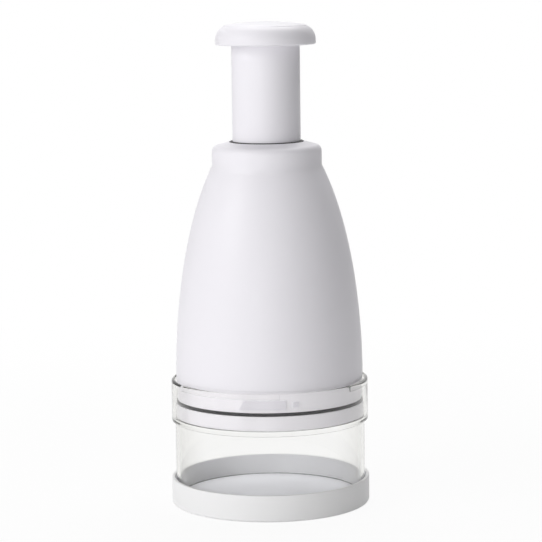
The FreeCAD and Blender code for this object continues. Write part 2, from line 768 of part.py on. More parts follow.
def blade_corners(overrun):
    """The corners of the zigzag seen from above, with each end run on by the overrun."""
    runs = int(value("blade_runs"))
    corners = []
    for index in range(runs + 1):
        x = "blade_spread * %g" % (2 * index / runs - 1)
        side = "" if index % 2 else "-"
        corners.append((x, "%ssqrt(blade_radius ^ 2 - (%s) ^ 2)" % (side, x)))
    for end, inner in ((0, 1), (-1, -2)):
        (x, y), (near_x, near_y) = corners[end], corners[inner]
        length = "sqrt((%s - (%s)) ^ 2 + (%s - (%s)) ^ 2)" % (x, near_x, y, near_y)
        corners[end] = ("%s + (%s) * (%s - (%s)) / %s" % (x, overrun, x, near_x, length),
                        "%s + (%s) * (%s - (%s)) / %s" % (y, overrun, y, near_y, length))
    return corners


def zigzag(body, kind, name, low, high, half_width, overrun, bevel=None):
    """A strip on edge that follows the zigzag, added to the body or cut out of it."""
    path = new_sketch(body, name + "_path", "XY_Plane")
    corners = blade_corners(overrun)
    places = [(value(x), value(y)) for x, y in corners]
    runs = [add_line(path, a, b)[0] for a, b in zip(places, places[1:])]
    for run, following in zip(runs, runs[1:]):
        hold(path, "Coincident", run, 2, following, 1)
    hold_point(path, runs[0], 1, *corners[0])
    for run, corner in zip(runs, corners[1:]):
        hold_point(path, run, 2, *corner)
    doc.recompute()
    for run, following in zip(runs, runs[1:]):
        bend = path.GeometryCount
        lines = [path.Geometry[index] for index in (run, following)]
        near_end = lines[0].value(lines[0].LastParameter - value("blade_bend"))
        near_start = lines[1].value(lines[1].FirstParameter + value("blade_bend"))
        path.fillet(run, following, near_end, near_start, value("blade_bend"), True, True)
        hold(path, "Radius", bend, formula="blade_bend")
    doc.recompute()
    (x, y), (next_x, next_y) = corners[:2]
    profile = new_sketch(body, name + "_profile", "XZ_Plane", "-1 * (%s)" % y,
                         "-1 * atan((%s - (%s)) / (%s - (%s)))" % (next_x, x, next_y, y))
    bind(profile, ".AttachmentOffset.Base.x", x)
    right = half_width
    left = "-1 * (%s)" % half_width
    outline = [(left, high), (left, low), (right, low), (right, high)]
    if bevel:
        edge_top = "%s + %s" % (low, bevel)
        outline = [(left, high), (left, edge_top), ("0", low), (right, edge_top), (right, high)]
    add_outline(profile, outline)
    return feature(body, kind, name, Profile=profile, Spine=(path, []), Mode="Standard",
                   Transition="Transformed")


def blade():
    """The stainless strip, folded to a zigzag and ground to an edge along its foot."""
    body = new_body("blade")
    zigzag(body, "AdditivePipe", "Strip", "blade_foot", "blade_foot + blade_height",
           "blade_thickness / 2", "0", "blade_bevel")


def blade_hub():
    """The disc that grips the top of the blade and carries the spindle in its boss."""
    body = new_body("blade_hub")
    turn(body, "Disc", [
        ("0", "hub_foot"), ("hub_radius", "hub_foot"), ("hub_radius", "hub_top"),
        ("hub_boss", "hub_top"), ("hub_boss", "boss_top"), ("spindle_radius", "boss_top"),
        ("spindle_radius", "spindle_foot"), ("0", "spindle_foot")])
    drain_outline = new_sketch(body, "Drain_outline", "XY_Plane", "hub_top")
    add_circle(drain_outline, "drain_circle", "0", "drain_radius")
    drain = feature(body, "Pocket", "Drain", Profile=drain_outline, Length="hub_plate + overcut")
    repeat(body, "Drains", [drain], "drains")
    zigzag(body, "SubtractivePipe", "Groove", "hub_foot - overcut", "hub_foot + hub_groove",
           "blade_thickness / 2 + groove_play", "groove_play")


def wiper_disc():
    """The disc with a zigzag slot that turns with the blade and scrapes it clean."""
    body = new_body("wiper_disc")
    turn(body, "Disc", box_corners("0", "disc_radius", "disc_foot", "disc_top"))
    zigzag(body, "SubtractivePipe", "Slot", "disc_foot - overcut", "disc_top + overcut",
           "blade_thickness / 2 + slot_play", "slot_play")


# ---------------------------------------------------------------- build, check and write

def build():
    for make in (base_tray, clear_cup, bell_housing, neck_bush, guide_frame, frame_screws,
                 housing_seal, wiper_ring, plunger_tube, knob, knob_top_plate, index_spindle,
                 ratchet_ring, index_nut, nut_cover, thrust_washer, rod_clip, blade, blade_hub,
                 wiper_disc):
        make()
    coil("return_spring", "spring_wire", "spring_radius", "spring_turns", "cover_top", "web_foot")
    coil("ratchet_spring", "pawl_wire", "pawl_radius", "pawl_turns", "nut_top", "cover_roof")
    doc.recompute()


def pieces():
    """Every body of the model, and every plain shape."""
    return [item for item in doc.Objects if item.TypeId in ("PartDesign::Body", "Part::Feature")]


def check():
    for item in doc.Objects:
        if {"Invalid", "Error"} & set(item.State):
            raise RuntimeError("%s is %s" % (item.Name, item.State))
    for item in pieces():
        if item.Shape.isNull() or not item.Shape.isValid():
            raise RuntimeError("%s has no valid shape" % item.Label)


def write():
    os.makedirs("parts", exist_ok=True)
    for item in pieces():
        item.Shape.exportStep("parts/%s.step" % item.Label)
        print("%-18s %d solid(s) %10.1f mm3" % (item.Label, len(item.Shape.Solids),
                                                item.Shape.Volume))


build()
check()
write()
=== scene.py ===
# %% [markdown]
# # Dressing a plunger food chopper
#
# This lesson gives a hand chopper its looks. The pieces of the machine are already built at their
# real size and come in as a fixed frame. Here each piece that shows is modelled again with soft
# edges, every surface gets a procedural material, and a small studio is set round it. All lengths
# are in metres, with +Z up and the chopper's axis on the Z axis, so a piece modelled at its real
# place needs no fitting.

import json
import math

import bmesh
import bpy
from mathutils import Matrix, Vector


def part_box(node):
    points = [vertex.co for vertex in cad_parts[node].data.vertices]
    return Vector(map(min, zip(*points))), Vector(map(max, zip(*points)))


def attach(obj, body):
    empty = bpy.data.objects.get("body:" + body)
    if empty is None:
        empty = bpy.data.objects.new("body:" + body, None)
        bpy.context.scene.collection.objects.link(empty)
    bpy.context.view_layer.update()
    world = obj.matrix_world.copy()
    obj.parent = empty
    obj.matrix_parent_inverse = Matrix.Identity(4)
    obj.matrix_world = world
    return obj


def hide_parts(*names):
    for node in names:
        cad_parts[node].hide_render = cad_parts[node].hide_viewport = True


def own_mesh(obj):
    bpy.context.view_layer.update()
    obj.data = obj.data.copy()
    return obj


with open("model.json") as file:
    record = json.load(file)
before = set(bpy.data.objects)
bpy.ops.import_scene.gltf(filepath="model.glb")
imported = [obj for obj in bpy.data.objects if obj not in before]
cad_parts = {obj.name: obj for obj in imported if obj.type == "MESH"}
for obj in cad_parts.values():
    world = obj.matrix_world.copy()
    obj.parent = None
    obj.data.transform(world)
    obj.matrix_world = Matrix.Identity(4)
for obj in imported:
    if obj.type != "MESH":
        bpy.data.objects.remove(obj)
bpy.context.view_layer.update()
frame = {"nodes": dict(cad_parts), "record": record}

# %% [markdown]
# ## Sizes
#
# A moulded product is drawn in millimetres, so the sizes below are written in millimetres and
# multiplied by MM. Only what a box can't tell, such as the thickness of a wall, is written as a
# number. STEPS is the number of facets in a full turn, and THIRDS has the angles of what comes
# three times round.

# %% Read the main sizes from the frame
MM = 0.001
STEPS = 144
THIRDS = (0, 120, 240)


def reach(name):
    """The radius, foot and top of a round piece of the frame."""
    low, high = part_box(name)
    return high.x, low.z, high.z


def heights(name):
    """The foot and top of any piece of the frame."""
    return reach(name)[1:]


TRAY_RADIUS, GROUND, TRAY_TOP = reach("base_tray")
MOUTH_RADIUS, CUP_FOOT, CUP_TOP = reach("clear_cup")
BELL_RADIUS, FLANGE_FOOT, NECK_RIM = reach("bell_housing")
RING_RADIUS, RING_FOOT, RING_NECK_TOP = reach("wiper_ring")
SEAL_RADIUS, SEAL_FOOT, SEAL_TOP = reach("housing_seal")
DISC_RADIUS, DISC_FOOT, DISC_TOP = reach("wiper_disc")
LIP_RADIUS, TUBE_FOOT, TUBE_TOP = reach("plunger_tube")
KNOB_RADIUS, KNOB_FOOT, _ = reach("knob")
PLATE_RADIUS, WEB_TOP, KNOB_TOP = reach("knob_top_plate")
print("tray %.1f mm across, whole height %.1f mm" % (TRAY_RADIUS * 2 / MM, KNOB_TOP / MM))

# %% [markdown]
# ## Working by hand, in code
#
# Modelling with operators means going into edit mode, selecting something, and acting on it. An
# operator acts on everything that is selected, so the helpers below always clear the selection
# first. Selecting by mouse isn't possible here, so points, edges and faces are picked by a test
# on where their corners are.

# %% Helpers to enter a piece and pick parts of it
NEAR = 0.02 * MM
SLACK = 0.1 * MM


def deselect_all():
    bpy.ops.object.select_all(action="DESELECT")


def choose(piece):
    """Make a piece the active one and the only one selected."""
    deselect_all()
    piece.select_set(True)
    bpy.context.view_layer.objects.active = piece


def enter(piece):
    """Choose a piece, and open it in edit mode."""
    choose(piece)
    bpy.ops.object.mode_set(mode="EDIT")


def leave():
    bpy.ops.object.mode_set(mode="OBJECT")


def begin(name, primitive, **sizes):
    """Add a primitive at the origin, name it, and open it in edit mode."""
    deselect_all()
    primitive(location=(0, 0, 0), **sizes)
    piece = bpy.context.object
    piece.name = name
    bpy.ops.object.mode_set(mode="EDIT")
    return piece


def select_points():
    bpy.ops.mesh.select_mode(type="VERT")
    bpy.ops.mesh.select_all(action="SELECT")


def extrude(step):
    bpy.ops.mesh.extrude_region_move(TRANSFORM_OT_translate={"value": step})


def pick(piece, kind, test):
    """Select the points, edges or faces whose corners all pass the test."""
    bpy.ops.mesh.select_mode(type=kind)
    bpy.ops.mesh.select_all(action="DESELECT")
    mesh = bmesh.from_edit_mesh(piece.data)
    items = {"VERT": mesh.verts, "EDGE": mesh.edges, "FACE": mesh.faces}[kind]
    for item in items:
        corners = [item] if kind == "VERT" else item.verts
        if all(test(corner.co) for corner in corners):
            item.select_set(True)
    bmesh.update_edit_mesh(piece.data)


def near(a, b, slack=NEAR):
    return abs(a - b) < slack


def from_axis(co):
    return math.hypot(co.x, co.y)


def on_circle(radius, degrees):
    """The x and y of a place on a circle about the axis."""
    turn = math.radians(degrees)
    return radius * math.cos(turn), radius * math.sin(turn)


# %% [markdown]
# ## Turning a section
#
# Nearly every piece of this chopper is round, so the main tool is the one a potter would choose:
# draw half of the section, then spin it about the axis. The section starts as a small plane whose
# corners are merged to one point, and that point is extruded from corner to corner. Spinning it
# leaves a seam and doubled points where the ends meet, so those are merged, and the normals are
# recalculated so that every face points outwards.

# %% A turned piece from its section
TOUCH = 0.001 * MM
MERGE_WITHIN = 0.002 * MM


def trace(name, corners, closed=True):
    """Draw a line through the corners, in edit mode, and leave it all selected."""
    piece = begin(name, bpy.ops.mesh.primitive_plane_add, size=MM)
    select_points()
    bpy.ops.mesh.merge(type="CENTER")
    bpy.ops.mesh.select_all(action="SELECT")
    bpy.ops.transform.translate(value=corners[0])
    for here, there in zip(corners, corners[1:]):
        step = [b - a for a, b in zip(here, there)]
        bpy.ops.mesh.extrude_vertices_move(TRANSFORM_OT_translate={"value": step})
    if closed:
        ends = (Vector(corners[0]), Vector(corners[-1]))
        pick(piece, "VERT", lambda co: min((co - end).length for end in ends) < TOUCH)
        bpy.ops.mesh.edge_face_add()
    select_points()
    return piece


def merge_and_orient():
    select_points()
    bpy.ops.mesh.remove_doubles(threshold=MERGE_WITHIN)
    bpy.ops.mesh.normals_make_consistent(inside=False)


def close_ends():
    """Put a face on each open end of the piece in edit mode."""
    bpy.ops.mesh.select_mode(type="EDGE")
    bpy.ops.mesh.select_all(action="DESELECT")
    bpy.ops.mesh.select_non_manifold()
    bpy.ops.mesh.edge_face_add()
    merge_and_orient()


def turned(name, section, closed=True, steps=STEPS):
    """Spin a section of (radius, height) corners a full turn about the Z axis."""
    piece = trace(name, [(r, 0, z) for r, z in section], closed)
    bpy.ops.mesh.spin(steps=steps, angle=2 * math.pi, center=(0, 0, 0), axis=(0, 0, 1))
    merge_and_orient()
    leave()
    return piece


def arc(centre, radius, start, end, count):
    """Points along an arc in the section, between two angles in degrees."""
    steps = (on_circle(radius, start + (end - start) * i / count) for i in range(count + 1))
    return [(centre[0] + x, centre[1] + y) for x, y in steps]


# %% [markdown]
# ## Softening edges
#
# No moulded edge is truly sharp, and a sharp edge in a model catches no light. A rim of a turned
# piece is a ring of edges at one radius and one height, so it is picked by those two numbers and
# bevelled. Four widths serve most rims, and a few have a width of their own. The last step of
# every piece smooths the shading and weighs the normals by area, so that a narrow bevel doesn't
# spoil the flat beside it.

# %% Bevel rims, apply modifiers and finish a piece
FINE_EDGE = 0.25 * MM
THIN_EDGE = 0.3 * MM
SMALL_ROUND = 0.4 * MM
ROUND = 0.5 * MM


def soften(piece, rims, width, segments=3):
    """Round the ring edges at these (radius, height) places."""
    enter(piece)
    for r, z in rims:
        pick(piece, "EDGE", lambda co: near(from_axis(co), r) and near(co.z, z))
        bpy.ops.mesh.bevel(offset=width, segments=segments, affect="EDGES")
    leave()


def modify(piece, kind, **settings):
    """Add a modifier and apply it."""
    choose(piece)
    bpy.ops.object.modifier_add(type=kind)
    modifier = piece.modifiers[-1]
    for key, setting in settings.items():
        setattr(modifier, key, setting)
    bpy.ops.object.modifier_apply(modifier=modifier.name)


def combine(piece, other, operation):
    """Work another closed shape into a piece, and take the other away."""
    modify(piece, "BOOLEAN", object=other, operation=operation, solver="EXACT")
    bpy.data.objects.remove(other)


def unite(piece, other):
    combine(piece, other, "UNION")


def cut_out(piece, other):
    combine(piece, other, "DIFFERENCE")


def finish_piece(piece, body, nodes, material, angle=35):
    """Smooth the shading, give the finish, and hand the piece to its body."""
    choose(piece)
    bpy.ops.object.shade_smooth_by_angle(angle=math.radians(angle))
    modify(piece, "WEIGHTED_NORMAL", keep_sharp=True)
    piece.data.materials.clear()
    piece.data.materials.append(material)
    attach(piece, body)
    if nodes:
        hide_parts(*nodes)
    print("%-18s %6d faces, on %s" % (piece.name, len(piece.data.polygons), body))


def second_finish(piece, material, test):
    """Give the faces that pass the test a second material."""
    piece.data.materials.append(material)
    enter(piece)
    pick(piece, "FACE", test)
    piece.active_material_index = 1
    bpy.ops.object.material_slot_assign()
    leave()


# %% [markdown]
# ## Camera
#
# The chopper is seen from a little above, from about a metre away, through a long lens. A long
# lens keeps the sides of the cup nearly parallel. The camera starts out level, tips down, and rolls
# by under a degree.

# %% Place the camera
CAMERA_PLACE = (1.3 * MM, -1090.8 * MM, 258.65 * MM)
CAMERA_PITCH = 7.75
CAMERA_ROLL = 0.7
PICTURE_WIDTH = 542
FOCAL_PIXELS = 2331
SENSOR_WIDTH = 36.0

camera_data = bpy.data.cameras.new("camera")
camera_data.sensor_width = SENSOR_WIDTH
camera_data.lens = FOCAL_PIXELS * SENSOR_WIDTH / PICTURE_WIDTH
camera_data.clip_start = 0.05
camera_data.clip_end = 50
camera = bpy.data.objects.new("camera", camera_data)
bpy.context.scene.collection.objects.link(camera)
camera.location = CAMERA_PLACE
camera.rotation_euler = (math.radians(90 - CAMERA_PITCH), 0, 0)
camera.rotation_euler.rotate_axis("Z", math.radians(-CAMERA_ROLL))
bpy.context.scene.camera = camera
bpy.context.scene.view_settings.view_transform = "Standard"
print("lens %.1f mm" % camera_data.lens)

# %% [markdown]
# ## Node trees in short
#
# A material here is a small tree of nodes. To keep each recipe readable, `node` adds one node and
# sets its values, and `link` joins two sockets. Patterns read Object coordinates: every piece has
# its object at the origin, so the pattern sticks to the piece when it moves. A noise keeps mostly
# to the middle of 0..1, and that middle, GRAIN, is what `paint` spreads over two colours and
# `polish` over two roughnesses. Most finishes are no more than that, with a `bump`, so `grained`
# makes them in one go: its grains are the scale, detail and stretch of each noise in turn.

# %% Helpers for node trees
GRAIN = (0.3, 0.7)


def node(tree, kind, values=None, **settings):
    made = tree.nodes.new(kind)
    for key, setting in settings.items():
        setattr(made, key, setting)
    for key, number in (values or {}).items():
        made.inputs[key].default_value = number
    return made


def link(tree, source, output, target, socket):
    tree.links.new(source.outputs[output], target.inputs[socket])


def noise(tree, scale, detail=3.0, stretch=(1, 1, 1)):
    """Noise on Object coordinates, with its grain drawn out along an axis if wanted."""
    place = node(tree, "ShaderNodeTexCoord")
    fit = node(tree, "ShaderNodeMapping", {"Scale": stretch})
    grain = node(tree, "ShaderNodeTexNoise", {"Scale": scale, "Detail": detail})
    link(tree, place, "Object", fit, "Vector")
    link(tree, fit, "Vector", grain, "Vector")
    return grain


def paint(tree, shader, pattern, colours, output="Fac"):
    """Go from one colour to another where a pattern rises."""
    ramp = node(tree, "ShaderNodeValToRGB")
    for element, position, colour in zip(ramp.color_ramp.elements, GRAIN, colours):
        element.position = position
        element.color = (*colour, 1)
    link(tree, pattern, output, ramp, "Fac")
    link(tree, ramp, "Color", shader, "Base Color")


def polish(tree, shader, pattern, low, high):
    """Go from one roughness to another where a noise rises."""
    spread = node(tree, "ShaderNodeMapRange", {
        "From Min": GRAIN[0], "From Max": GRAIN[1], "To Min": low, "To Max": high})
    link(tree, pattern, "Fac", spread, "Value")
    link(tree, spread, "Result", shader, "Roughness")


def bump(tree, shader, pattern, strength, distance):
    """Make the surface rise and fall with a noise."""
    bend = node(tree, "ShaderNodeBump", {"Strength": strength, "Distance": distance})
    link(tree, pattern, "Fac", bend, "Height")
    link(tree, bend, "Normal", shader, "Normal")


def new_material(name, **constants):
    """A material with its shader. The constants go straight to the shader's own sockets."""
    material = bpy.data.materials.new(name)
    material.use_nodes = True
    shader = material.node_tree.nodes["Principled BSDF"]
    for key, number in constants.items():
        shader.inputs[key.replace("_", " ")].default_value = number
    return material, material.node_tree, shader


def grained(name, tones, grains, gloss, relief=None, **constants):
    """A material whose colour, gloss and relief each follow a noise, given as its numbers."""
    material, tree, shader = new_material(name, **constants)
    paint(tree, shader, noise(tree, *grains[0]), tones)
    polish(tree, shader, noise(tree, *grains[1]), *gloss)
    if relief:
        bump(tree, shader, noise(tree, *grains[2]), *relief)
    return material


# %% [markdown]
# ## The floor, the backdrop and the light
#
# The studio is plain: a pale floor under a white surround. White comes from the colour of what
# the camera sees, not from more light on the object: the Light Path node tells a material whether
# a ray comes from the camera, a reflection or a see-through piece, and those rays see white. The
# floor keeps part of its real shading round the chopper, so there is still a soft shadow. For
# reflections and through clear pieces the surround is greyer at both sides, as if cards stood
# there: glossy and clear things take their outlines from them. The light that the surround gives
# falls off to the right.

# %% Floor and world
FLOOR_RADIUS = 2.6
FLOOR_DROP = 0.05 * MM
FLOOR_FACETS = 96
SHADOW_SHARE = 0.08
SHADOW_REACH = (0.12, 0.55)
FLOOR_TONES = ((0.83, 0.83, 0.83), (0.86, 0.86, 0.86))


def seen_directly(tree):
    """1 for a ray from the camera, off a gloss or through a clear piece, and 0 for others."""
    path = node(tree, "ShaderNodeLightPath")
    source, output = path, "Is Camera Ray"
    for ray in ("Is Glossy Ray", "Is Transmission Ray"):
        either = node(tree, "ShaderNodeMath", operation="MAXIMUM")
        link(tree, source, output, either, 0)
        link(tree, path, ray, either, 1)
        source, output = either, "Value"
    return source


def rise_with(tree, source, output, span, low, high):
    """A soft step from one number to another where a value goes through a span."""
    step = node(tree, "ShaderNodeMapRange", {
        "From Min": span[0], "From Max": span[1], "To Min": low, "To Max": high},
        interpolation_type="SMOOTHSTEP")
    link(tree, source, output, step, "Value")
    return step


def product(tree, first, second):
    times = node(tree, "ShaderNodeMath", operation="MULTIPLY")
    link(tree, first, 0, times, 0)
    link(tree, second, 0, times, 1)
    return times


def floor_finish():
    material, tree, shader = new_material("pale_floor", Roughness=0.9)
    paint(tree, shader, noise(tree, 3.0), FLOOR_TONES)
    place = node(tree, "ShaderNodeTexCoord")
    away = node(tree, "ShaderNodeVectorMath", operation="LENGTH")
    link(tree, place, "Object", away, "Vector")
    white_share = rise_with(tree, away, "Value", SHADOW_REACH, 1 - SHADOW_SHARE, 1.0)
    share = product(tree, seen_directly(tree), white_share)
    white = node(tree, "ShaderNodeEmission", {"Color": (1, 1, 1, 1), "Strength": 1.0})
    mix = node(tree, "ShaderNodeMixShader")
    link(tree, share, "Value", mix, "Fac")
    link(tree, shader, "BSDF", mix, 1)
    link(tree, white, "Emission", mix, 2)
    link(tree, mix, "Shader", tree.nodes["Material Output"], "Surface")
    return material


deselect_all()
bpy.ops.mesh.primitive_circle_add(vertices=FLOOR_FACETS, radius=FLOOR_RADIUS, fill_type="NGON",
                                  location=(0, 0, -FLOOR_DROP))
floor = bpy.context.object
floor.name = "floor"
floor.data.materials.append(floor_finish())

# %% The world round the floor
AMBIENT = 0.38
LEFT_CARD = 0.6
RIGHT_CARD = 0.5
FRONT_CARD = 0.95
RIGHT_SHADE = 0.05
FRONT_SPAN = (-0.8, -0.1)
LEFT_SPAN = (-0.6, -0.15)
RIGHT_SPAN = (0.15, 0.6)
SHADE_SPAN = (0.0, 0.9)


def studio_world():
    world = bpy.data.worlds.new("studio")
    world.use_nodes = True
    tree = world.node_tree
    sky = tree.nodes["Background"]
    sky.inputs["Color"].default_value = (1, 1, 1, 1)
    direction = node(tree, "ShaderNodeTexCoord")
    axes = node(tree, "ShaderNodeSeparateXYZ")
    link(tree, direction, "Generated", axes, "Vector")
    front = rise_with(tree, axes, "Y", FRONT_SPAN, FRONT_CARD, 1.0)
    sides = product(tree, rise_with(tree, axes, "X", RIGHT_SPAN, 1.0, RIGHT_CARD),
                    rise_with(tree, axes, "X", LEFT_SPAN, LEFT_CARD, 1.0))
    shade = rise_with(tree, axes, "X", SHADE_SPAN, AMBIENT, AMBIENT * RIGHT_SHADE)
    strength = node(tree, "ShaderNodeMix", data_type="FLOAT")
    link(tree, seen_directly(tree), "Value", strength, "Factor")
    link(tree, shade, "Result", strength, "A")
    link(tree, product(tree, front, sides), "Value", strength, "B")
    background = node(tree, "ShaderNodeMix", {"B": 1.0}, data_type="FLOAT")
    link(tree, node(tree, "ShaderNodeLightPath"), "Is Camera Ray", background, "Factor")
    link(tree, strength, "Result", background, "A")
    link(tree, background, "Result", sky, "Strength")
    return world


bpy.context.scene.world = studio_world()
print("floor and surround are ready")

# %% [markdown]
# The key light is a large soft panel to the left and above, so the left of the bell is bright and
# the right falls off slowly. A wide low panel in front reaches under the bell, into the clear cup;
# it isn't mirrored, because a stripe of light along the bell would look wrong. A panel above and
# behind lights the knob's crown and reaches through the cup's back wall to the tray's floor, and a
# weak one behind on the right keeps the far edge from going grey. Light that comes through the
# clear cup would be counted twice, once straight through the wall and once round its bends, so the
# panels are kept out of sight of the second kind of ray.

# %% Lamps
def panel(name, place, width, height, watts, aim=(0, 0, 0.12), mirrored=True):
    """An area lamp that faces the aim. Glossy pieces mirror it unless it is told not to."""
    data = bpy.data.lights.new(name, "AREA")
    data.shape = "RECTANGLE"
    data.size = width
    data.size_y = height
    data.energy = watts
    lamp = bpy.data.objects.new(name, data)
    bpy.context.scene.collection.objects.link(lamp)
    lamp.location = place
    lamp.rotation_euler = (Vector(aim) - Vector(place)).to_track_quat("-Z", "Y").to_euler()
    lamp.visible_transmission = False
    lamp.visible_glossy = mirrored


panel("key_panel", (-1.15, -0.75, 0.8), width=0.8, height=0.6, watts=6.0)
panel("front_panel", (-0.55, -1.32, 0.26), width=1.2, height=0.36, watts=6.8,
      aim=(0, 0, 0.03), mirrored=False)
panel("top_panel", (0.1, 0.5, 1.2), width=0.9, height=0.9, watts=9.0)
panel("rim_panel", (1.2, 0.9, 0.7), width=0.7, height=0.9, watts=0.7)
print("four panels are lit")

# %% [markdown]
# ## White moulded plastic
#
# The bell, the knob, the tube and the tray are white ABS from a finely blasted mould: nearly even
# in colour with a trace of lavender, and with a soft gloss that shows no texture. Two fine noises,
# at scales of about a millimetre, keep the colour and the gloss from being dead even. A bump was
# left out: even a very weak one glitters where the light grazes so pale a surface. The bayonet lugs
# are greyer as painted shade, and the inside of the tray is the brightest white as painted light.

# %% White plastic
DIM_SHARE = 0.997


def white_plastic(name, tone):
    dimmed = [DIM_SHARE * part for part in tone]
    return grained(name, (dimmed, tone), [(1400.0,), (900.0,)], gloss=(0.41, 0.43), IOR=1.5)


housing_white = white_plastic("housing_white", (0.855, 0.838, 0.880))
# Painted shade: a greyer white that outlines the bayonet lugs.
lug_painted_shade = white_plastic("lug_painted_shade", (0.755, 0.738, 0.792))
tray_white = white_plastic("tray_white", (0.875, 0.873, 0.877))
# Painted light: a brighter, bluer white for the inside of the tray.
tray_inside_painted_light = white_plastic("tray_inside_painted_light", (0.925, 0.930, 0.975))
inner_white = white_plastic("inner_white", (0.820, 0.818, 0.815))
print("white plastics:", housing_white.name, tray_white.name, inner_white.name)

# %% [markdown]
# ## Clear plastic
#
# The cup is clear styrene. Real thickness does most of the work: light bends at each wall, so the
# edges darken and the mouth shows a double rim. The index is set lower than styrene's own 1.59,
# which draws the sides and the shoulder with darker lines. The plastic swallows a little light
# along the way through it, and a Layer Weight tints the face where it is met at a slant, so the
# sides turn a warm grey. The surface has fine scuffs from being washed, and the slow waves of a
# moulded wall. A lamp's light can't find its way through a bending wall, so for shadow rays the
# shader is swapped for a plain see-through one: without that, whatever stands behind the cup would
# lie in a hard shadow that a real cup doesn't throw.

# %% Clear plastic
CLEAR_INDEX = 1.35
FACE_TINT = (1.0, 1.0, 0.998)
SLANT_TINT = (0.85, 0.85, 0.835)
DEPTH_TINT = (0.90, 0.895, 0.875)
DEPTH_DENSITY = 100.0


def clear_plastic():
    material, tree, shader = new_material("clear_styrene", IOR=CLEAR_INDEX,
                                          Transmission_Weight=1.0)
    slant = node(tree, "ShaderNodeLayerWeight", {"Blend": 0.5})
    paint(tree, shader, slant, (FACE_TINT, SLANT_TINT), output="Facing")
    polish(tree, shader, noise(tree, 260.0, 8.0, stretch=(1, 1, 0.15)), 0.015, 0.05)
    bump(tree, shader, noise(tree, 30.0, 1.0), 0.05, 0.2 * MM)
    depth = node(tree, "ShaderNodeVolumeAbsorption",
                 {"Color": (*DEPTH_TINT, 1), "Density": DEPTH_DENSITY})
    link(tree, depth, "Volume", tree.nodes["Material Output"], "Volume")
    path = node(tree, "ShaderNodeLightPath")
    open_way = node(tree, "ShaderNodeBsdfTransparent", {"Color": (*FACE_TINT, 1)})
    mix = node(tree, "ShaderNodeMixShader")
    link(tree, path, "Is Shadow Ray", mix, "Fac")
    link(tree, shader, "BSDF", mix, 1)
    link(tree, open_way, "BSDF", mix, 2)
    link(tree, mix, "Shader", tree.nodes["Material Output"], "Surface")
    return material


clear_styrene = clear_plastic()
print(clear_styrene.name, "is see-through")

# %% [markdown]
# ## Rubber, acetal and steel
#
# The small parts need finishes of their own, also where they are hidden at rest, because the
# chopper comes apart. The seal is dark rubber with a dusty bloom. Nut, ratchet ring, bush and
# washer are natural acetal, a milky slippery plastic. The spindle, clip, screws and springs are
# bright steel with fine drawing marks, and the blade is brushed strip with a ground edge.

# %% Rubber and acetal
seal_rubber = grained(
    "seal_rubber", ((0.008, 0.008, 0.010), (0.018, 0.017, 0.020)),
    [(300.0, 5.0), (500.0,), (2600.0,)], gloss=(0.5, 0.68), relief=(0.3, 0.03 * MM), IOR=1.5)
natural_acetal = grained(
    "natural_acetal", ((0.760, 0.745, 0.700), (0.800, 0.790, 0.755)),
    [(60.0, 4.0), (200.0, 5.0), (1800.0, 2.0)], gloss=(0.34, 0.48), relief=(0.15, 0.02 * MM),
    IOR=1.48, Subsurface_Weight=0.3, Subsurface_Radius=(0.003, 0.003, 0.002),
    Subsurface_Scale=0.6)
print("rubber and acetal are ready")

# %% Steel
DRAWN = (1, 1, 0.1)


def blade_strip(name, gloss, stretch):
    """Brushed strip: fine marks drawn out along the way that it was brushed."""
    return grained(
        name, ((0.52, 0.53, 0.54), (0.66, 0.67, 0.68)),
        [(700.0, 6.0, stretch), (1600.0, 6.0, stretch), (2200.0, 4.0, stretch)],
        gloss, relief=(0.15, 0.01 * MM), Metallic=1.0)


steel = grained(
    "bright_steel", ((0.50, 0.50, 0.51), (0.60, 0.60, 0.61)),
    [(150.0, 5.0), (900.0, 4.0, DRAWN), (1500.0, 3.0, DRAWN)],
    gloss=(0.22, 0.4), relief=(0.1, 0.01 * MM), Metallic=1.0)
brushed_blade = blade_strip("brushed_blade", (0.24, 0.38), (0.06, 0.06, 1))
ground_edge = blade_strip("ground_edge", (0.12, 0.2), (1, 1, 0.05))
print("steels:", steel.name, brushed_blade.name, ground_edge.name)

# %% [markdown]
# ## The tray
#
# The tray is a shallow white dish, whose inside is painted brighter and bluer than its outside, as
# painted light. It could be turned from a section, but a dish is just as easily made from a solid:
# a cylinder's top face is inset by the wall and pushed down to the floor, and the bottom face is
# inset by the width of the foot ring and pushed up a little. The gate, where the plastic entered
# the mould, leaves a small sunk disc in the middle underneath.

# %% Model the tray
TRAY_WALL = 1.6 * MM
FLOOR_TOP = CUP_FOOT
FOOT_WIDTH = 6.0 * MM
FOOT_RISE = 0.8 * MM
GATE_RADIUS = 2.2 * MM
GATE_DEPTH = 0.4 * MM
TRAY_FOOT_ROUND = 1.3 * MM
TRAY_CORNER_ROUND = 0.7 * MM


def cylinder(name, radius, low, high, vertices=STEPS, place=(0, 0)):
    """A solid cylinder between two heights, with its place in its mesh."""
    piece = begin(name, bpy.ops.mesh.primitive_cylinder_add, vertices=vertices, radius=radius,
                  depth=high - low)
    bpy.ops.transform.translate(value=(*place, (low + high) / 2))
    leave()
    return piece


def sink_face(piece, height, inset, push):
    """Inset the flat face at a height, and extrude the inset up or down."""
    enter(piece)
    pick(piece, "FACE", lambda co: near(co.z, height))
    bpy.ops.mesh.inset(thickness=inset, depth=0)
    extrude((0, 0, push))
    leave()


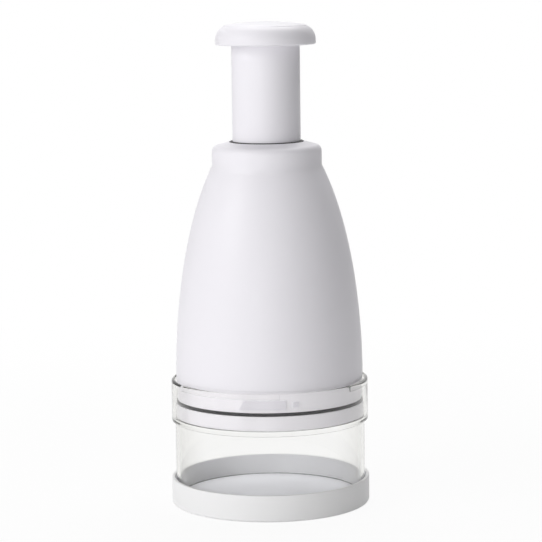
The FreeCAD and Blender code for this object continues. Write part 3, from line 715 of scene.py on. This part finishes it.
tray = cylinder("tray_dish", TRAY_RADIUS, GROUND, TRAY_TOP)
sink_face(tray, TRAY_TOP, TRAY_WALL, FLOOR_TOP - TRAY_TOP)
sink_face(tray, GROUND, FOOT_WIDTH, FOOT_RISE)
sink_face(tray, GROUND + FOOT_RISE, TRAY_RADIUS - FOOT_WIDTH - GATE_RADIUS, GATE_DEPTH)
inner = TRAY_RADIUS - TRAY_WALL
soften(tray, [(TRAY_RADIUS, GROUND)], TRAY_FOOT_ROUND, segments=6)
soften(tray, [(TRAY_RADIUS, TRAY_TOP), (inner, TRAY_TOP)], ROUND)
soften(tray, [(inner, FLOOR_TOP)], TRAY_CORNER_ROUND)
soften(tray, [(TRAY_RADIUS - FOOT_WIDTH, GROUND)], THIN_EDGE, segments=2)
finish_piece(tray, "base", ["base_tray"], tray_white)
# The inside faces get the brighter, bluer white, as painted light.
second_finish(tray, tray_inside_painted_light,
              lambda co: from_axis(co) < inner + SLACK and co.z > FLOOR_TOP - SLACK)

# %% [markdown]
# ## The clear cup
#
# The cup is an open sleeve, and its wall steps outwards at a shoulder to a wider mouth. This one is
# turned from its section, because both sides of the wall matter: in a clear piece the inside
# surface shows as much as the outside. Three long lugs stand inwards at the mouth, with a gap after
# each for the bell's lugs to drop through. A lug is a part-turn of a small section, united with the
# wall, and its first end runs out in a slope, because a square one shows dark through the wall. The
# spin operator turns clockwise, seen from above, so an anticlockwise span is negative.

# %% Model the cup
CUP_RADIUS = 45.0 * MM
CUP_BORE = 43.2 * MM
MOUTH_BORE = 45.0 * MM
SHOULDER_LOW = 39.8 * MM
SHOULDER_TOP = 42.0 * MM
CUP_LUG_START = -156.0
CUP_LUG_SPAN = 71.8
CUP_LUG_STEPS = 30
CUP_LUG_INNER = 44.0 * MM
CUP_LUG_LOW = 56.8 * MM
CUP_LUG_HIGH = 59.3 * MM
CUP_LUG_RUNOUT = 2.0
OVERLAP = 0.4 * MM
ANGLE_SLACK = 0.1
MOUTH_ROUND = 1.1 * MM


def part_turn(name, section, start, span, steps):
    """Spin a closed section anticlockwise from a start angle, and close its ends."""
    piece = trace(name, [(*on_circle(r, start), z) for r, z in section])
    bpy.ops.mesh.spin(steps=steps, angle=-math.radians(span), center=(0, 0, 0), axis=(0, 0, 1))
    close_ends()
    leave()
    return piece


def block(inner_radius, outer_radius, low, high):
    return [(inner_radius, low), (outer_radius, low), (outer_radius, high), (inner_radius, high)]


def angle_of(co):
    return math.degrees(math.atan2(co.y, co.x)) % 360


def lean_end(lug, start, degrees, radius, test):
    """Move the corners of a lug's first end that pass the test along the arc, so that it slopes."""
    enter(lug)
    pick(lug, "VERT", lambda co: test(co) and near(angle_of(co), start % 360, ANGLE_SLACK))
    along = on_circle(math.radians(degrees) * radius, start + 90)
    bpy.ops.transform.translate(value=(*along, 0))
    leave()


cup = turned("cup_sleeve", [
    (CUP_BORE, CUP_FOOT), (CUP_RADIUS, CUP_FOOT), (CUP_RADIUS, SHOULDER_LOW),
    (MOUTH_RADIUS, SHOULDER_LOW), (MOUTH_RADIUS, CUP_TOP), (MOUTH_BORE, CUP_TOP),
    (MOUTH_BORE, SHOULDER_TOP), (CUP_BORE, SHOULDER_TOP)])
soften(cup, [(MOUTH_RADIUS, CUP_TOP)], MOUTH_ROUND, segments=5)
soften(cup, [(MOUTH_RADIUS, SHOULDER_LOW), (CUP_RADIUS, SHOULDER_LOW)], ROUND)
soften(cup, [(MOUTH_BORE, CUP_TOP), (CUP_BORE, SHOULDER_TOP), (MOUTH_BORE, SHOULDER_TOP),
             (CUP_RADIUS, CUP_FOOT), (CUP_BORE, CUP_FOOT)], THIN_EDGE, segments=2)
for shift in THIRDS:
    start = CUP_LUG_START + shift
    lug = part_turn("lug", block(CUP_LUG_INNER, MOUTH_BORE + OVERLAP, CUP_LUG_LOW, CUP_LUG_HIGH),
                    start, CUP_LUG_SPAN, CUP_LUG_STEPS)
    lean_end(lug, start, CUP_LUG_RUNOUT, CUP_LUG_INNER,
             lambda co: near(from_axis(co), CUP_LUG_INNER))
    unite(cup, lug)
finish_piece(cup, "cup", ["clear_cup"], clear_styrene)

# %% [markdown]
# ## The bell housing
#
# The bell is a thin shell, so it is modelled as a single skin first: a circle is extruded upwards
# and scaled, ring by ring, along part of an ellipse, then on through the neck. Solidify gives
# the skin its wall. After that come the three bayonet lugs on the flange, whose left ends slope so
# that they slip under the cup's lugs, a small stop beside each one, and three screw bosses inside
# the neck.

# %% Grow the skin of the bell
BELL_WALL = 2.2 * MM
BELL_FOOT = 60.5 * MM
FLANGE_RADIUS = 43.8 * MM
NECK_RADIUS = 25.8 * MM
NECK_FOOT = 160.5 * MM
NECK_HOLE = 17.4 * MM
NECK_ROUND = 2.4 * MM
NECK_DOME = 2.15 * MM
NECK_SHOULDER = NECK_RIM - NECK_DOME
RINGS = 26
BELL_SPAN = NECK_FOOT - BELL_FOOT
ELLIPSE_RISE = BELL_SPAN / math.sqrt(1 - (NECK_RADIUS / BELL_RADIUS) ** 2)


def bell_rings():
    """(radius, height) of each ring of the skin, from the flange's foot to the neck's hole."""
    yield FLANGE_RADIUS, BELL_FOOT
    top_angle = math.asin(BELL_SPAN / ELLIPSE_RISE)
    for i in range(RINGS + 1):
        angle = top_angle * i / RINGS
        yield BELL_RADIUS * math.cos(angle), BELL_FOOT + ELLIPSE_RISE * math.sin(angle)
    yield NECK_RADIUS, NECK_SHOULDER
    yield NECK_HOLE, NECK_RIM


bell = begin("bell_shell", bpy.ops.mesh.primitive_circle_add, vertices=STEPS,
             radius=FLANGE_RADIUS)
bpy.ops.transform.translate(value=(0, 0, FLANGE_FOOT))
radius, height = FLANGE_RADIUS, FLANGE_FOOT
for next_radius, next_height in bell_rings():
    extrude((0, 0, next_height - height))
    share = next_radius / radius
    bpy.ops.transform.resize(value=(share, share, 1), center_override=(0, 0, next_height))
    radius, height = next_radius, next_height
merge_and_orient()
leave()
soften(bell, [(NECK_RADIUS, NECK_SHOULDER)], NECK_ROUND, segments=7)
print("the skin has", len(bell.data.polygons), "faces")

# %% Give the bell its wall, lugs and bosses
LUG_LOW = 52.1 * MM
LUG_HIGH = 56.4 * MM
LUG_RADIUS = 44.6 * MM
LUG_START = -108.5
LUG_SPAN = 28.0
LUG_STEPS = 8
LUG_RAMP = 3.4
STOP_START = -76.3
STOP_SPAN = 3.4
STOP_LOW = 53.1 * MM
STOP_HIGH = 55.5 * MM
BOLT_CIRCLE = 21.5 * MM
BOSS_RADIUS = 2.4 * MM
BOSS_LOW = 161.0 * MM
BOSS_HIGH = 168.8 * MM
PILOT_HIGH = 166.5 * MM
SHANK_RADIUS = 1.3 * MM
BOSS_FACETS = 24
BELL_EDGE = 0.15 * MM


def sloped_lug(start):
    """A lug whose top edge starts later than its foot, so that its end slopes."""
    lug = part_turn("lug", block(FLANGE_RADIUS - OVERLAP, LUG_RADIUS, LUG_LOW, LUG_HIGH),
                    start, LUG_SPAN, LUG_STEPS)
    lean_end(lug, start, LUG_RAMP, LUG_RADIUS, lambda co: near(co.z, LUG_HIGH))
    return lug


modify(bell, "SOLIDIFY", thickness=BELL_WALL, offset=-1, use_even_offset=True)
enter(bell)
merge_and_orient()
leave()
soften(bell, [(FLANGE_RADIUS, FLANGE_FOOT)], FINE_EDGE, segments=2)
soften(bell, [(FLANGE_RADIUS, BELL_FOOT), (BELL_RADIUS, BELL_FOOT)], BELL_EDGE, segments=2)
soften(bell, [(NECK_HOLE, NECK_RIM)], SMALL_ROUND)
for shift in THIRDS:
    unite(bell, sloped_lug(LUG_START + shift))
    stop = block(FLANGE_RADIUS - OVERLAP, LUG_RADIUS, STOP_LOW, STOP_HIGH)
    unite(bell, part_turn("stop", stop, STOP_START + shift, STOP_SPAN, steps=3))
    place = on_circle(BOLT_CIRCLE, shift)
    unite(bell, cylinder("boss", BOSS_RADIUS, BOSS_LOW, BOSS_HIGH, BOSS_FACETS, place))
    cut_out(bell, cylinder("pilot", SHANK_RADIUS, BOSS_LOW - MM, PILOT_HIGH, BOSS_FACETS, place))
finish_piece(bell, "housing", ["bell_housing"], housing_white)
# The lug and stop faces get the greyer white, as painted shade that outlines them behind the cup.
second_finish(bell, lug_painted_shade, lambda co: from_axis(co) > FLANGE_RADIUS + SLACK
              and LUG_LOW - SLACK < co.z < LUG_HIGH + SLACK)

# %% [markdown]
# A thin dark lip fills the gap between the neck and the tube. It is painted shade: a dark ring put
# where the gap would only lie in shadow. It is turned from a section with a sloped top, and it
# keeps a hair's breadth away from the tube, which slides through it.

# %% Model the dark lip in the neck, as painted shade
LIP_BORE = 16.15 * MM
LIP_DEPTH = 1.2 * MM
LIP_PROUD = 0.28 * MM
LIP_SLOPE = 0.35 * MM
LIP_BITE = 0.1 * MM

neck_shade_lip = turned("neck_shade_lip", [
    (LIP_BORE, NECK_RIM - LIP_DEPTH), (NECK_HOLE + LIP_BITE, NECK_RIM - LIP_DEPTH),
    (NECK_HOLE + LIP_BITE, NECK_RIM), (NECK_HOLE - LIP_SLOPE, NECK_RIM + LIP_PROUD),
    (LIP_BORE, NECK_RIM + LIP_PROUD)])
# The lip's dark rubber finish is painted shade for the gap round the tube.
finish_piece(neck_shade_lip, "housing", [], seal_rubber)

# %% [markdown]
# ## The ring, the disc and the seal
#
# Below the bell sits the wiper ring, a stepped white ring whose lips carry the wiper disc, and
# between the ring and the bell lies a dark rubber seal. Both rings are turned from sections. The
# seal's outer face bulges a little, as a squeezed rubber ring does, so its section has an arc.

# %% Model the wiper ring and the seal
RING_TOP = SEAL_FOOT
RING_NECK = 41.5 * MM
RING_BORE = 40.1 * MM
DISC_ROOM = 41.5 * MM
LIP_TOP = 43.0 * MM
CATCH_LOW = 45.6 * MM
CATCH_HIGH = 46.4 * MM
RING_LIP = 39.2 * MM
CATCH = 40.4 * MM
SEAL_BORE = 41.6 * MM
SEAL_BULGE = 0.35 * MM
RING_FOOT_ROUND = 0.6 * MM

ring = turned("wiper_carrier", [
    (RING_LIP, RING_FOOT), (RING_RADIUS, RING_FOOT), (RING_RADIUS, RING_TOP),
    (RING_NECK, RING_TOP), (RING_NECK, RING_NECK_TOP), (RING_BORE, RING_NECK_TOP),
    (RING_BORE, CATCH_HIGH), (CATCH, CATCH_HIGH), (CATCH, CATCH_LOW), (DISC_ROOM, CATCH_LOW),
    (DISC_ROOM, LIP_TOP), (RING_LIP, LIP_TOP)])
soften(ring, [(RING_RADIUS, RING_FOOT)], RING_FOOT_ROUND, segments=4)
soften(ring, [(RING_RADIUS, RING_TOP), (RING_LIP, RING_FOOT)], FINE_EDGE, segments=2)
finish_piece(ring, "housing", ["wiper_ring"], housing_white)

seal_middle = (SEAL_FOOT + SEAL_TOP) / 2
seal_half = (SEAL_TOP - SEAL_FOOT) / 2
flat = SEAL_RADIUS - SEAL_BULGE
seal = turned("rubber_seal", [(SEAL_BORE, SEAL_TOP), (SEAL_BORE, SEAL_FOOT)] + [
    (flat + SEAL_BULGE * x, seal_middle + seal_half * y)
    for x, y in arc((0, 0), 1, -90, 90, count=8)])
finish_piece(seal, "housing", ["housing_seal"], seal_rubber, angle=60)

# %% [markdown]
# ## The zigzag blade and all that follows it
#
# The cutter is one strip of stainless steel, folded to a zigzag of five runs. Its path is drawn
# flat and extruded upwards, and Solidify gives the thickness on both sides of the line. The folds
# are very sharp, and a vertex bevel would pinch there, so each fold is an arc worked out from its
# radius. A vertex group with no weight along the foot makes Solidify close there to a fine line,
# which is the ground edge. The wiper disc's slot and the hub's groove follow the same path with a
# little play, so one helper draws all three.

# %% Draw the zigzag
BLADE_REACH = 36.0 * MM
BLADE_SPREAD = 30.0 * MM
BLADE_RUNS = 5
BLADE_THICKNESS = 0.7 * MM
BLADE_BEND = 2.0 * MM
BLADE_BEVEL = 1.6 * MM
EDGE_SHARE = 0.06


def zigzag_corners(overrun):
    """Corners of the zigzag, from one side of the circle to the other and back."""
    corners = []
    for index in range(BLADE_RUNS + 1):
        x = BLADE_SPREAD * (2 * index / BLADE_RUNS - 1)
        side = 1 if index % 2 else -1
        corners.append(Vector((x, side * math.sqrt(BLADE_REACH ** 2 - x ** 2), 0)))
    for end, inner in ((0, 1), (-1, -2)):
        corners[end] = corners[end] + (corners[end] - corners[inner]).normalized() * overrun
    return corners


def fold(before, corner, after, radius, count=10):
    """Points along the arc that rounds a corner of the path."""
    towards = (before - corner).normalized()
    onwards = (after - corner).normalized()
    half = towards.angle(onwards) / 2
    centre = corner + (towards + onwards).normalized() * radius / math.sin(half)
    first = (corner + towards * radius / math.tan(half) - centre).normalized()
    last = (corner + onwards * radius / math.tan(half) - centre).normalized()
    return [centre + first.slerp(last, i / count) * radius for i in range(count + 1)]


def zigzag(name, levels, thickness, overrun=0.0, edge_share=1.0):
    """A strip on edge along the zigzag, through the levels given, thin at its foot if wanted."""
    corners = zigzag_corners(overrun)
    path = [corners[0]]
    for before, corner, after in zip(corners, corners[1:], corners[2:]):
        path += fold(before, corner, after, BLADE_BEND)
    path.append(corners[-1])
    low = Vector((0, 0, levels[0]))
    piece = trace(name, [point + low for point in path], closed=False)
    for here, there in zip(levels, levels[1:]):
        extrude((0, 0, there - here))
    bpy.ops.object.vertex_group_add()
    pick(piece, "VERT", lambda co: co.z > levels[0] + NEAR)
    bpy.ops.object.vertex_group_assign()
    leave()
    modify(piece, "SOLIDIFY", thickness=thickness, offset=0, use_even_offset=True,
           vertex_group=piece.vertex_groups[0].name, thickness_vertex_group=edge_share)
    enter(piece)
    merge_and_orient()
    leave()
    return piece


blade_low, blade_high = heights("blade")
blade = zigzag("zigzag_blade", [blade_low, blade_low + BLADE_BEVEL, blade_high],
               BLADE_THICKNESS, edge_share=EDGE_SHARE)
finish_piece(blade, "rotor", ["blade"], brushed_blade, angle=25)
second_finish(blade, ground_edge, lambda co: co.z < blade_low + BLADE_BEVEL + NEAR)
print("blade stands from %.1f to %.1f mm" % (blade_low / MM, blade_high / MM))

# %% Cut the wiper disc
SLOT_PLAY = 0.6 * MM

disc = cylinder("wiper_plate", DISC_RADIUS, DISC_FOOT, DISC_TOP)
cut_out(disc, zigzag("slot", [DISC_FOOT - MM, DISC_TOP + MM], BLADE_THICKNESS + 2 * SLOT_PLAY,
                     overrun=SLOT_PLAY))
soften(disc, [(DISC_RADIUS, DISC_FOOT), (DISC_RADIUS, DISC_TOP)], FINE_EDGE, segments=2)
finish_piece(disc, "wiper", ["wiper_disc"], inner_white)

# %% [markdown]
# The hub grips the blade's top and carries the spindle. Its section starts and ends on the axis,
# so it is turned from an open line, whose ends close to points. The drains let wash water out.

# %% Turn the hub, and cut its drains and its groove
HUB_RADIUS, HUB_FOOT, BOSS_TOP = reach("blade_hub")
HUB_PLATE = 3.5 * MM
HUB_BOSS = 5.6 * MM
SPINDLE_RADIUS = 3.0 * MM
SPINDLE_SEAT = 2.0 * MM
DRAIN_RADIUS = 4.0 * MM
DRAIN_CIRCLE = 27.0 * MM
DRAIN_COUNT = 6
DRAIN_FACETS = 40
GROOVE_DEPTH = 1.0 * MM
GROOVE_PLAY = 0.1 * MM

hub_top = HUB_FOOT + HUB_PLATE
seat = HUB_FOOT + SPINDLE_SEAT
hub = turned("blade_carrier", [
    (0, HUB_FOOT), (HUB_RADIUS, HUB_FOOT), (HUB_RADIUS, hub_top), (HUB_BOSS, hub_top),
    (HUB_BOSS, BOSS_TOP), (SPINDLE_RADIUS, BOSS_TOP), (SPINDLE_RADIUS, seat), (0, seat)],
    closed=False)
soften(hub, [(HUB_RADIUS, HUB_FOOT), (HUB_RADIUS, hub_top)], SMALL_ROUND)
soften(hub, [(HUB_BOSS, BOSS_TOP), (HUB_BOSS, hub_top)], ROUND)
for turn in range(DRAIN_COUNT):
    cut_out(hub, cylinder("drain", DRAIN_RADIUS, HUB_FOOT - MM, hub_top + MM, DRAIN_FACETS,
                          on_circle(DRAIN_CIRCLE, 360 * turn / DRAIN_COUNT)))
cut_out(hub, zigzag("groove", [HUB_FOOT - MM, HUB_FOOT + GROOVE_DEPTH],
                    BLADE_THICKNESS + 2 * GROOVE_PLAY, overrun=GROOVE_PLAY))
finish_piece(hub, "rotor", ["blade_hub"], inner_white)

# %% [markdown]
# ## The tube and the knob
#
# The tube is a plain sleeve with a lip at its foot, which stops it at both ends of the stroke. The
# knob is two mouldings. The lower one has the rounded shoulder, a socket for the tube and a hollow
# under its rim. The upper one is a domed disc let into the crown, and the shoulder's curve carries
# on over the seam into a very flat dome. Both curves are arcs in the section, so their centres are
# worked out from the knob's radius and height, and the two mouldings can't disagree.

# %% Turn the tube
TUBE_RADIUS = 16.0 * MM
TUBE_BORE = 14.0 * MM
LIP_HEIGHT = 3.5 * MM

lip_top = TUBE_FOOT + LIP_HEIGHT
tube = turned("press_tube", [
    (TUBE_BORE, TUBE_FOOT), (LIP_RADIUS, TUBE_FOOT), (LIP_RADIUS, lip_top),
    (TUBE_RADIUS, lip_top), (TUBE_RADIUS, TUBE_TOP), (TUBE_BORE, TUBE_TOP)])
soften(tube, [(LIP_RADIUS, TUBE_FOOT), (LIP_RADIUS, lip_top), (TUBE_BORE, TUBE_FOOT)], SMALL_ROUND)
finish_piece(tube, "plunger", ["plunger_tube"], housing_white)

# %% Turn the knob and its top plate
SHOULDER = 7.3 * MM
CROWN = 120.0 * MM
KNOB_WALL = 2.2 * MM
KNOB_WEB = 2.2 * MM
CORE_DEPTH = 4.7 * MM
SOCKET_RADIUS = 16.1 * MM
WELL_RADIUS = 19.5 * MM
PLATE_RECESS = 8.0 * MM
PLATE_ROOM = 1.6 * MM
SEAM_EDGE = 0.22 * MM
KNOB_FOOT_ROUND = 0.9 * MM
CORE_EDGE = 0.35 * MM

shoulder_centre = KNOB_RADIUS - SHOULDER
crown_centre = KNOB_TOP - CROWN
shoulder_level = crown_centre + math.sqrt((CROWN - SHOULDER) ** 2 - shoulder_centre ** 2)


def shoulder_angle(at_radius):
    return math.degrees(math.acos((at_radius - shoulder_centre) / SHOULDER))


web_foot = WEB_TOP - KNOB_WEB
core_top = KNOB_FOOT + CORE_DEPTH
core_inner = TUBE_RADIUS + KNOB_WALL
core_outer = KNOB_RADIUS - KNOB_WALL
bend = (shoulder_centre, shoulder_level)
shoulder = arc(bend, SHOULDER, 0, shoulder_angle(WELL_RADIUS), count=12)
knob = turned("knob_shell", [
    (SOCKET_RADIUS, KNOB_FOOT), (core_inner, KNOB_FOOT), (core_inner, core_top),
    (core_outer, core_top), (core_outer, KNOB_FOOT), (KNOB_RADIUS, KNOB_FOOT), *shoulder,
    (WELL_RADIUS, WEB_TOP), (SPINDLE_RADIUS, WEB_TOP), (SPINDLE_RADIUS, web_foot),
    (SOCKET_RADIUS, web_foot)])
soften(knob, [(KNOB_RADIUS, KNOB_FOOT)], KNOB_FOOT_ROUND, segments=4)
soften(knob, [(core_outer, KNOB_FOOT), (core_inner, KNOB_FOOT)], CORE_EDGE, segments=2)
soften(knob, [shoulder[-1]], SEAM_EDGE, segments=2)
finish_piece(knob, "plunger", ["knob"], housing_white)

blend = math.degrees(math.acos(shoulder_centre / (CROWN - SHOULDER)))
rim_angle = shoulder_angle(PLATE_RADIUS)
plate_edge = arc(bend, SHOULDER, rim_angle, blend, count=5)
plate_top = arc((0, crown_centre), CROWN, blend, 90, count=10)
plate = turned("knob_cap", [
    (0, WEB_TOP + PLATE_ROOM), (PLATE_RECESS, WEB_TOP + PLATE_ROOM), (PLATE_RECESS, WEB_TOP),
    (PLATE_RADIUS, WEB_TOP), *plate_edge, *plate_top[1:]], closed=False)
soften(plate, [plate_edge[0]], SEAM_EDGE, segments=2)
finish_piece(plate, "plunger", ["knob_top_plate"], housing_white)

# %% [markdown]
# ## Springs
#
# A coil spring is a wire's round section, carried round and up: the Screw modifier does exactly
# that. A real compression spring has closed ends, where the wire lies flat against itself for
# three quarters of a turn, so each coil is made in three stretches, and the stretches are joined
# where their ends meet. The long spring is handed to the housing, and gets a mesh of its own.

# %% Wind the springs
WIRE_CORNERS = 12
STEPS_A_TURN = 40
END_TURN = 0.75


def wire_stretch(radius, wire, low, turns, pitch, start_turn):
    """A stretch of coil that starts at a height, after some turns already wound."""
    piece = begin("stretch", bpy.ops.mesh.primitive_circle_add, vertices=WIRE_CORNERS,
                  radius=wire / 2)
    bpy.ops.mesh.select_all(action="SELECT")
    bpy.ops.transform.rotate(value=math.radians(90), orient_axis="X", center_override=(0, 0, 0))
    bpy.ops.transform.translate(value=(radius, 0, low))
    bpy.ops.transform.rotate(value=-2 * math.pi * start_turn, orient_axis="Z",
                             center_override=(0, 0, 0))
    leave()
    modify(piece, "SCREW", angle=2 * math.pi * turns, screw_offset=pitch * turns, axis="Z",
           steps=round(STEPS_A_TURN * turns), render_steps=round(STEPS_A_TURN * turns),
           use_merge_vertices=False)
    return piece


def wind(name, radius, wire, low, high, turns):
    """A coil between two heights. The turns count its closed ends too."""
    open_turns = turns - 2 * END_TURN
    rise = (high - low - wire - 2 * END_TURN * wire) / open_turns
    height = low + wire / 2
    wound = 0.0
    stretches = []
    for turns_here, pitch in ((END_TURN, wire), (open_turns, rise), (END_TURN, wire)):
        stretches.append(wire_stretch(radius, wire, height, turns_here, pitch, wound))
        height += pitch * turns_here
        wound += turns_here
    deselect_all()
    for stretch in stretches:
        stretch.select_set(True)
    bpy.context.view_layer.objects.active = stretches[0]
    bpy.ops.object.join()
    coil = stretches[0]
    coil.name = name
    enter(coil)
    merge_and_orient()
    close_ends()
    leave()
    return coil


low, high = heights("return_spring")
return_coil = wind("return_coil", 11.3 * MM, 1.1 * MM, low, high, turns=8)
finish_piece(return_coil, "housing", ["return_spring"], steel, angle=60)
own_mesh(return_coil)

ratchet_coil = wind("ratchet_coil", 7.4 * MM, 0.6 * MM, *heights("ratchet_spring"), turns=2.6)
finish_piece(ratchet_coil, "housing", ["ratchet_spring"], steel, angle=60)

# %% [markdown]
# ## Screws
#
# Three self-tapping screws hold the inner frame to the bosses in the neck, heads down. A thread is
# also a job for Screw: one pitch of its zigzag profile, carried round and up, gives a true helix.
# The head is a short cylinder with a rounded rim, and two crossed slots are cut into it.

# %% Model one screw and copy it round
SCREW_HEAD = 2.1 * MM
SCREW_HEAD_HEIGHT = 1.6 * MM
THREAD_PITCH = 0.9 * MM
THREAD_DEPTH = 0.28 * MM
THREAD_STEPS = 20
THREAD_RAMP = 0.35
THREAD_BITE = 0.06 * MM
TIP_HEIGHT = 1.0 * MM
TIP_RADIUS = 0.3 * MM
SCREW_FACETS = 32
HEAD_ROUND = 0.7 * MM
CROSS_LENGTH = 2.4 * MM
CROSS_WIDTH = 0.5 * MM
CROSS_DEPTH = 0.8 * MM


def thread(low, turns):
    """A screw thread about the Z axis, from a height, closed at both ends."""
    core = SHANK_RADIUS - THREAD_DEPTH
    profile = [(core, 0, low), (core, 0, low + THREAD_PITCH * THREAD_RAMP),
               (SHANK_RADIUS, 0, low + THREAD_PITCH * (1 - THREAD_RAMP)),
               (core, 0, low + THREAD_PITCH)]
    piece = trace("thread", profile, closed=False)
    leave()
    modify(piece, "SCREW", angle=2 * math.pi, screw_offset=THREAD_PITCH, iterations=turns,
           axis="Z", steps=THREAD_STEPS, render_steps=THREAD_STEPS, use_merge_vertices=True,
           merge_threshold=TOUCH)
    enter(piece)
    merge_and_orient()
    close_ends()
    leave()
    return piece


def crossed_slots(low):
    """The cutter for a cross recess: two thin bars through each other."""
    bars = []
    for size in ((CROSS_LENGTH, CROSS_WIDTH), (CROSS_WIDTH, CROSS_LENGTH)):
        bars.append(begin("bar", bpy.ops.mesh.primitive_cube_add, size=1))
        bpy.ops.transform.resize(value=(*size, 2 * CROSS_DEPTH))
        bpy.ops.transform.translate(value=(0, 0, low))
        leave()
    unite(*bars)
    return bars[0]


def frame_screw(low, high):
    """One screw on the Z axis, head down. The thread bites a little into the shank."""
    head_top = low + SCREW_HEAD_HEIGHT
    core = SHANK_RADIUS - THREAD_DEPTH - THREAD_BITE
    screw = turned("screw", [
        (0, low), (SCREW_HEAD, low), (SCREW_HEAD, head_top), (core, head_top),
        (core, high - TIP_HEIGHT), (TIP_RADIUS, high), (0, high)],
        closed=False, steps=SCREW_FACETS)
    soften(screw, [(SCREW_HEAD, low)], HEAD_ROUND, segments=5)
    turns = int((high - TIP_HEIGHT - head_top) / THREAD_PITCH)
    unite(screw, thread(head_top - THREAD_PITCH / 2, turns))
    cut_out(screw, crossed_slots(low))
    return screw


pattern = frame_screw(*heights("frame_screws"))
for index, shift in enumerate(THIRDS):
    screw = pattern.copy()
    screw.data = pattern.data.copy()
    screw.name = "frame_screw_%d" % (index + 1)
    bpy.context.scene.collection.objects.link(screw)
    enter(screw)
    bpy.ops.mesh.select_all(action="SELECT")
    bpy.ops.transform.translate(value=(*on_circle(BOLT_CIRCLE, shift), 0))
    leave()
    finish_piece(screw, "housing", ["frame_screws"], steel)
bpy.data.objects.remove(pattern)

# %% [markdown]
# ## The rest of the frame
#
# Spindle, nut, ratchet, guide frame, bush, washer and clip have their right shape already, ribs
# and saw teeth included. They keep it, and get the finish of what they are made of.

# %% Give every piece of the frame its material
FINISHES = {
    "white_plastic": inner_white,
    "clear_plastic": clear_styrene,
    "natural_acetal": natural_acetal,
    "dark_rubber": seal_rubber,
    "steel": steel,
    "blade_steel": brushed_blade,
}
for part in frame["record"]["subparts"]:
    mesh = frame["nodes"][part["node"]].data
    mesh.materials.clear()
    mesh.materials.append(FINISHES[part["material_slot"]])
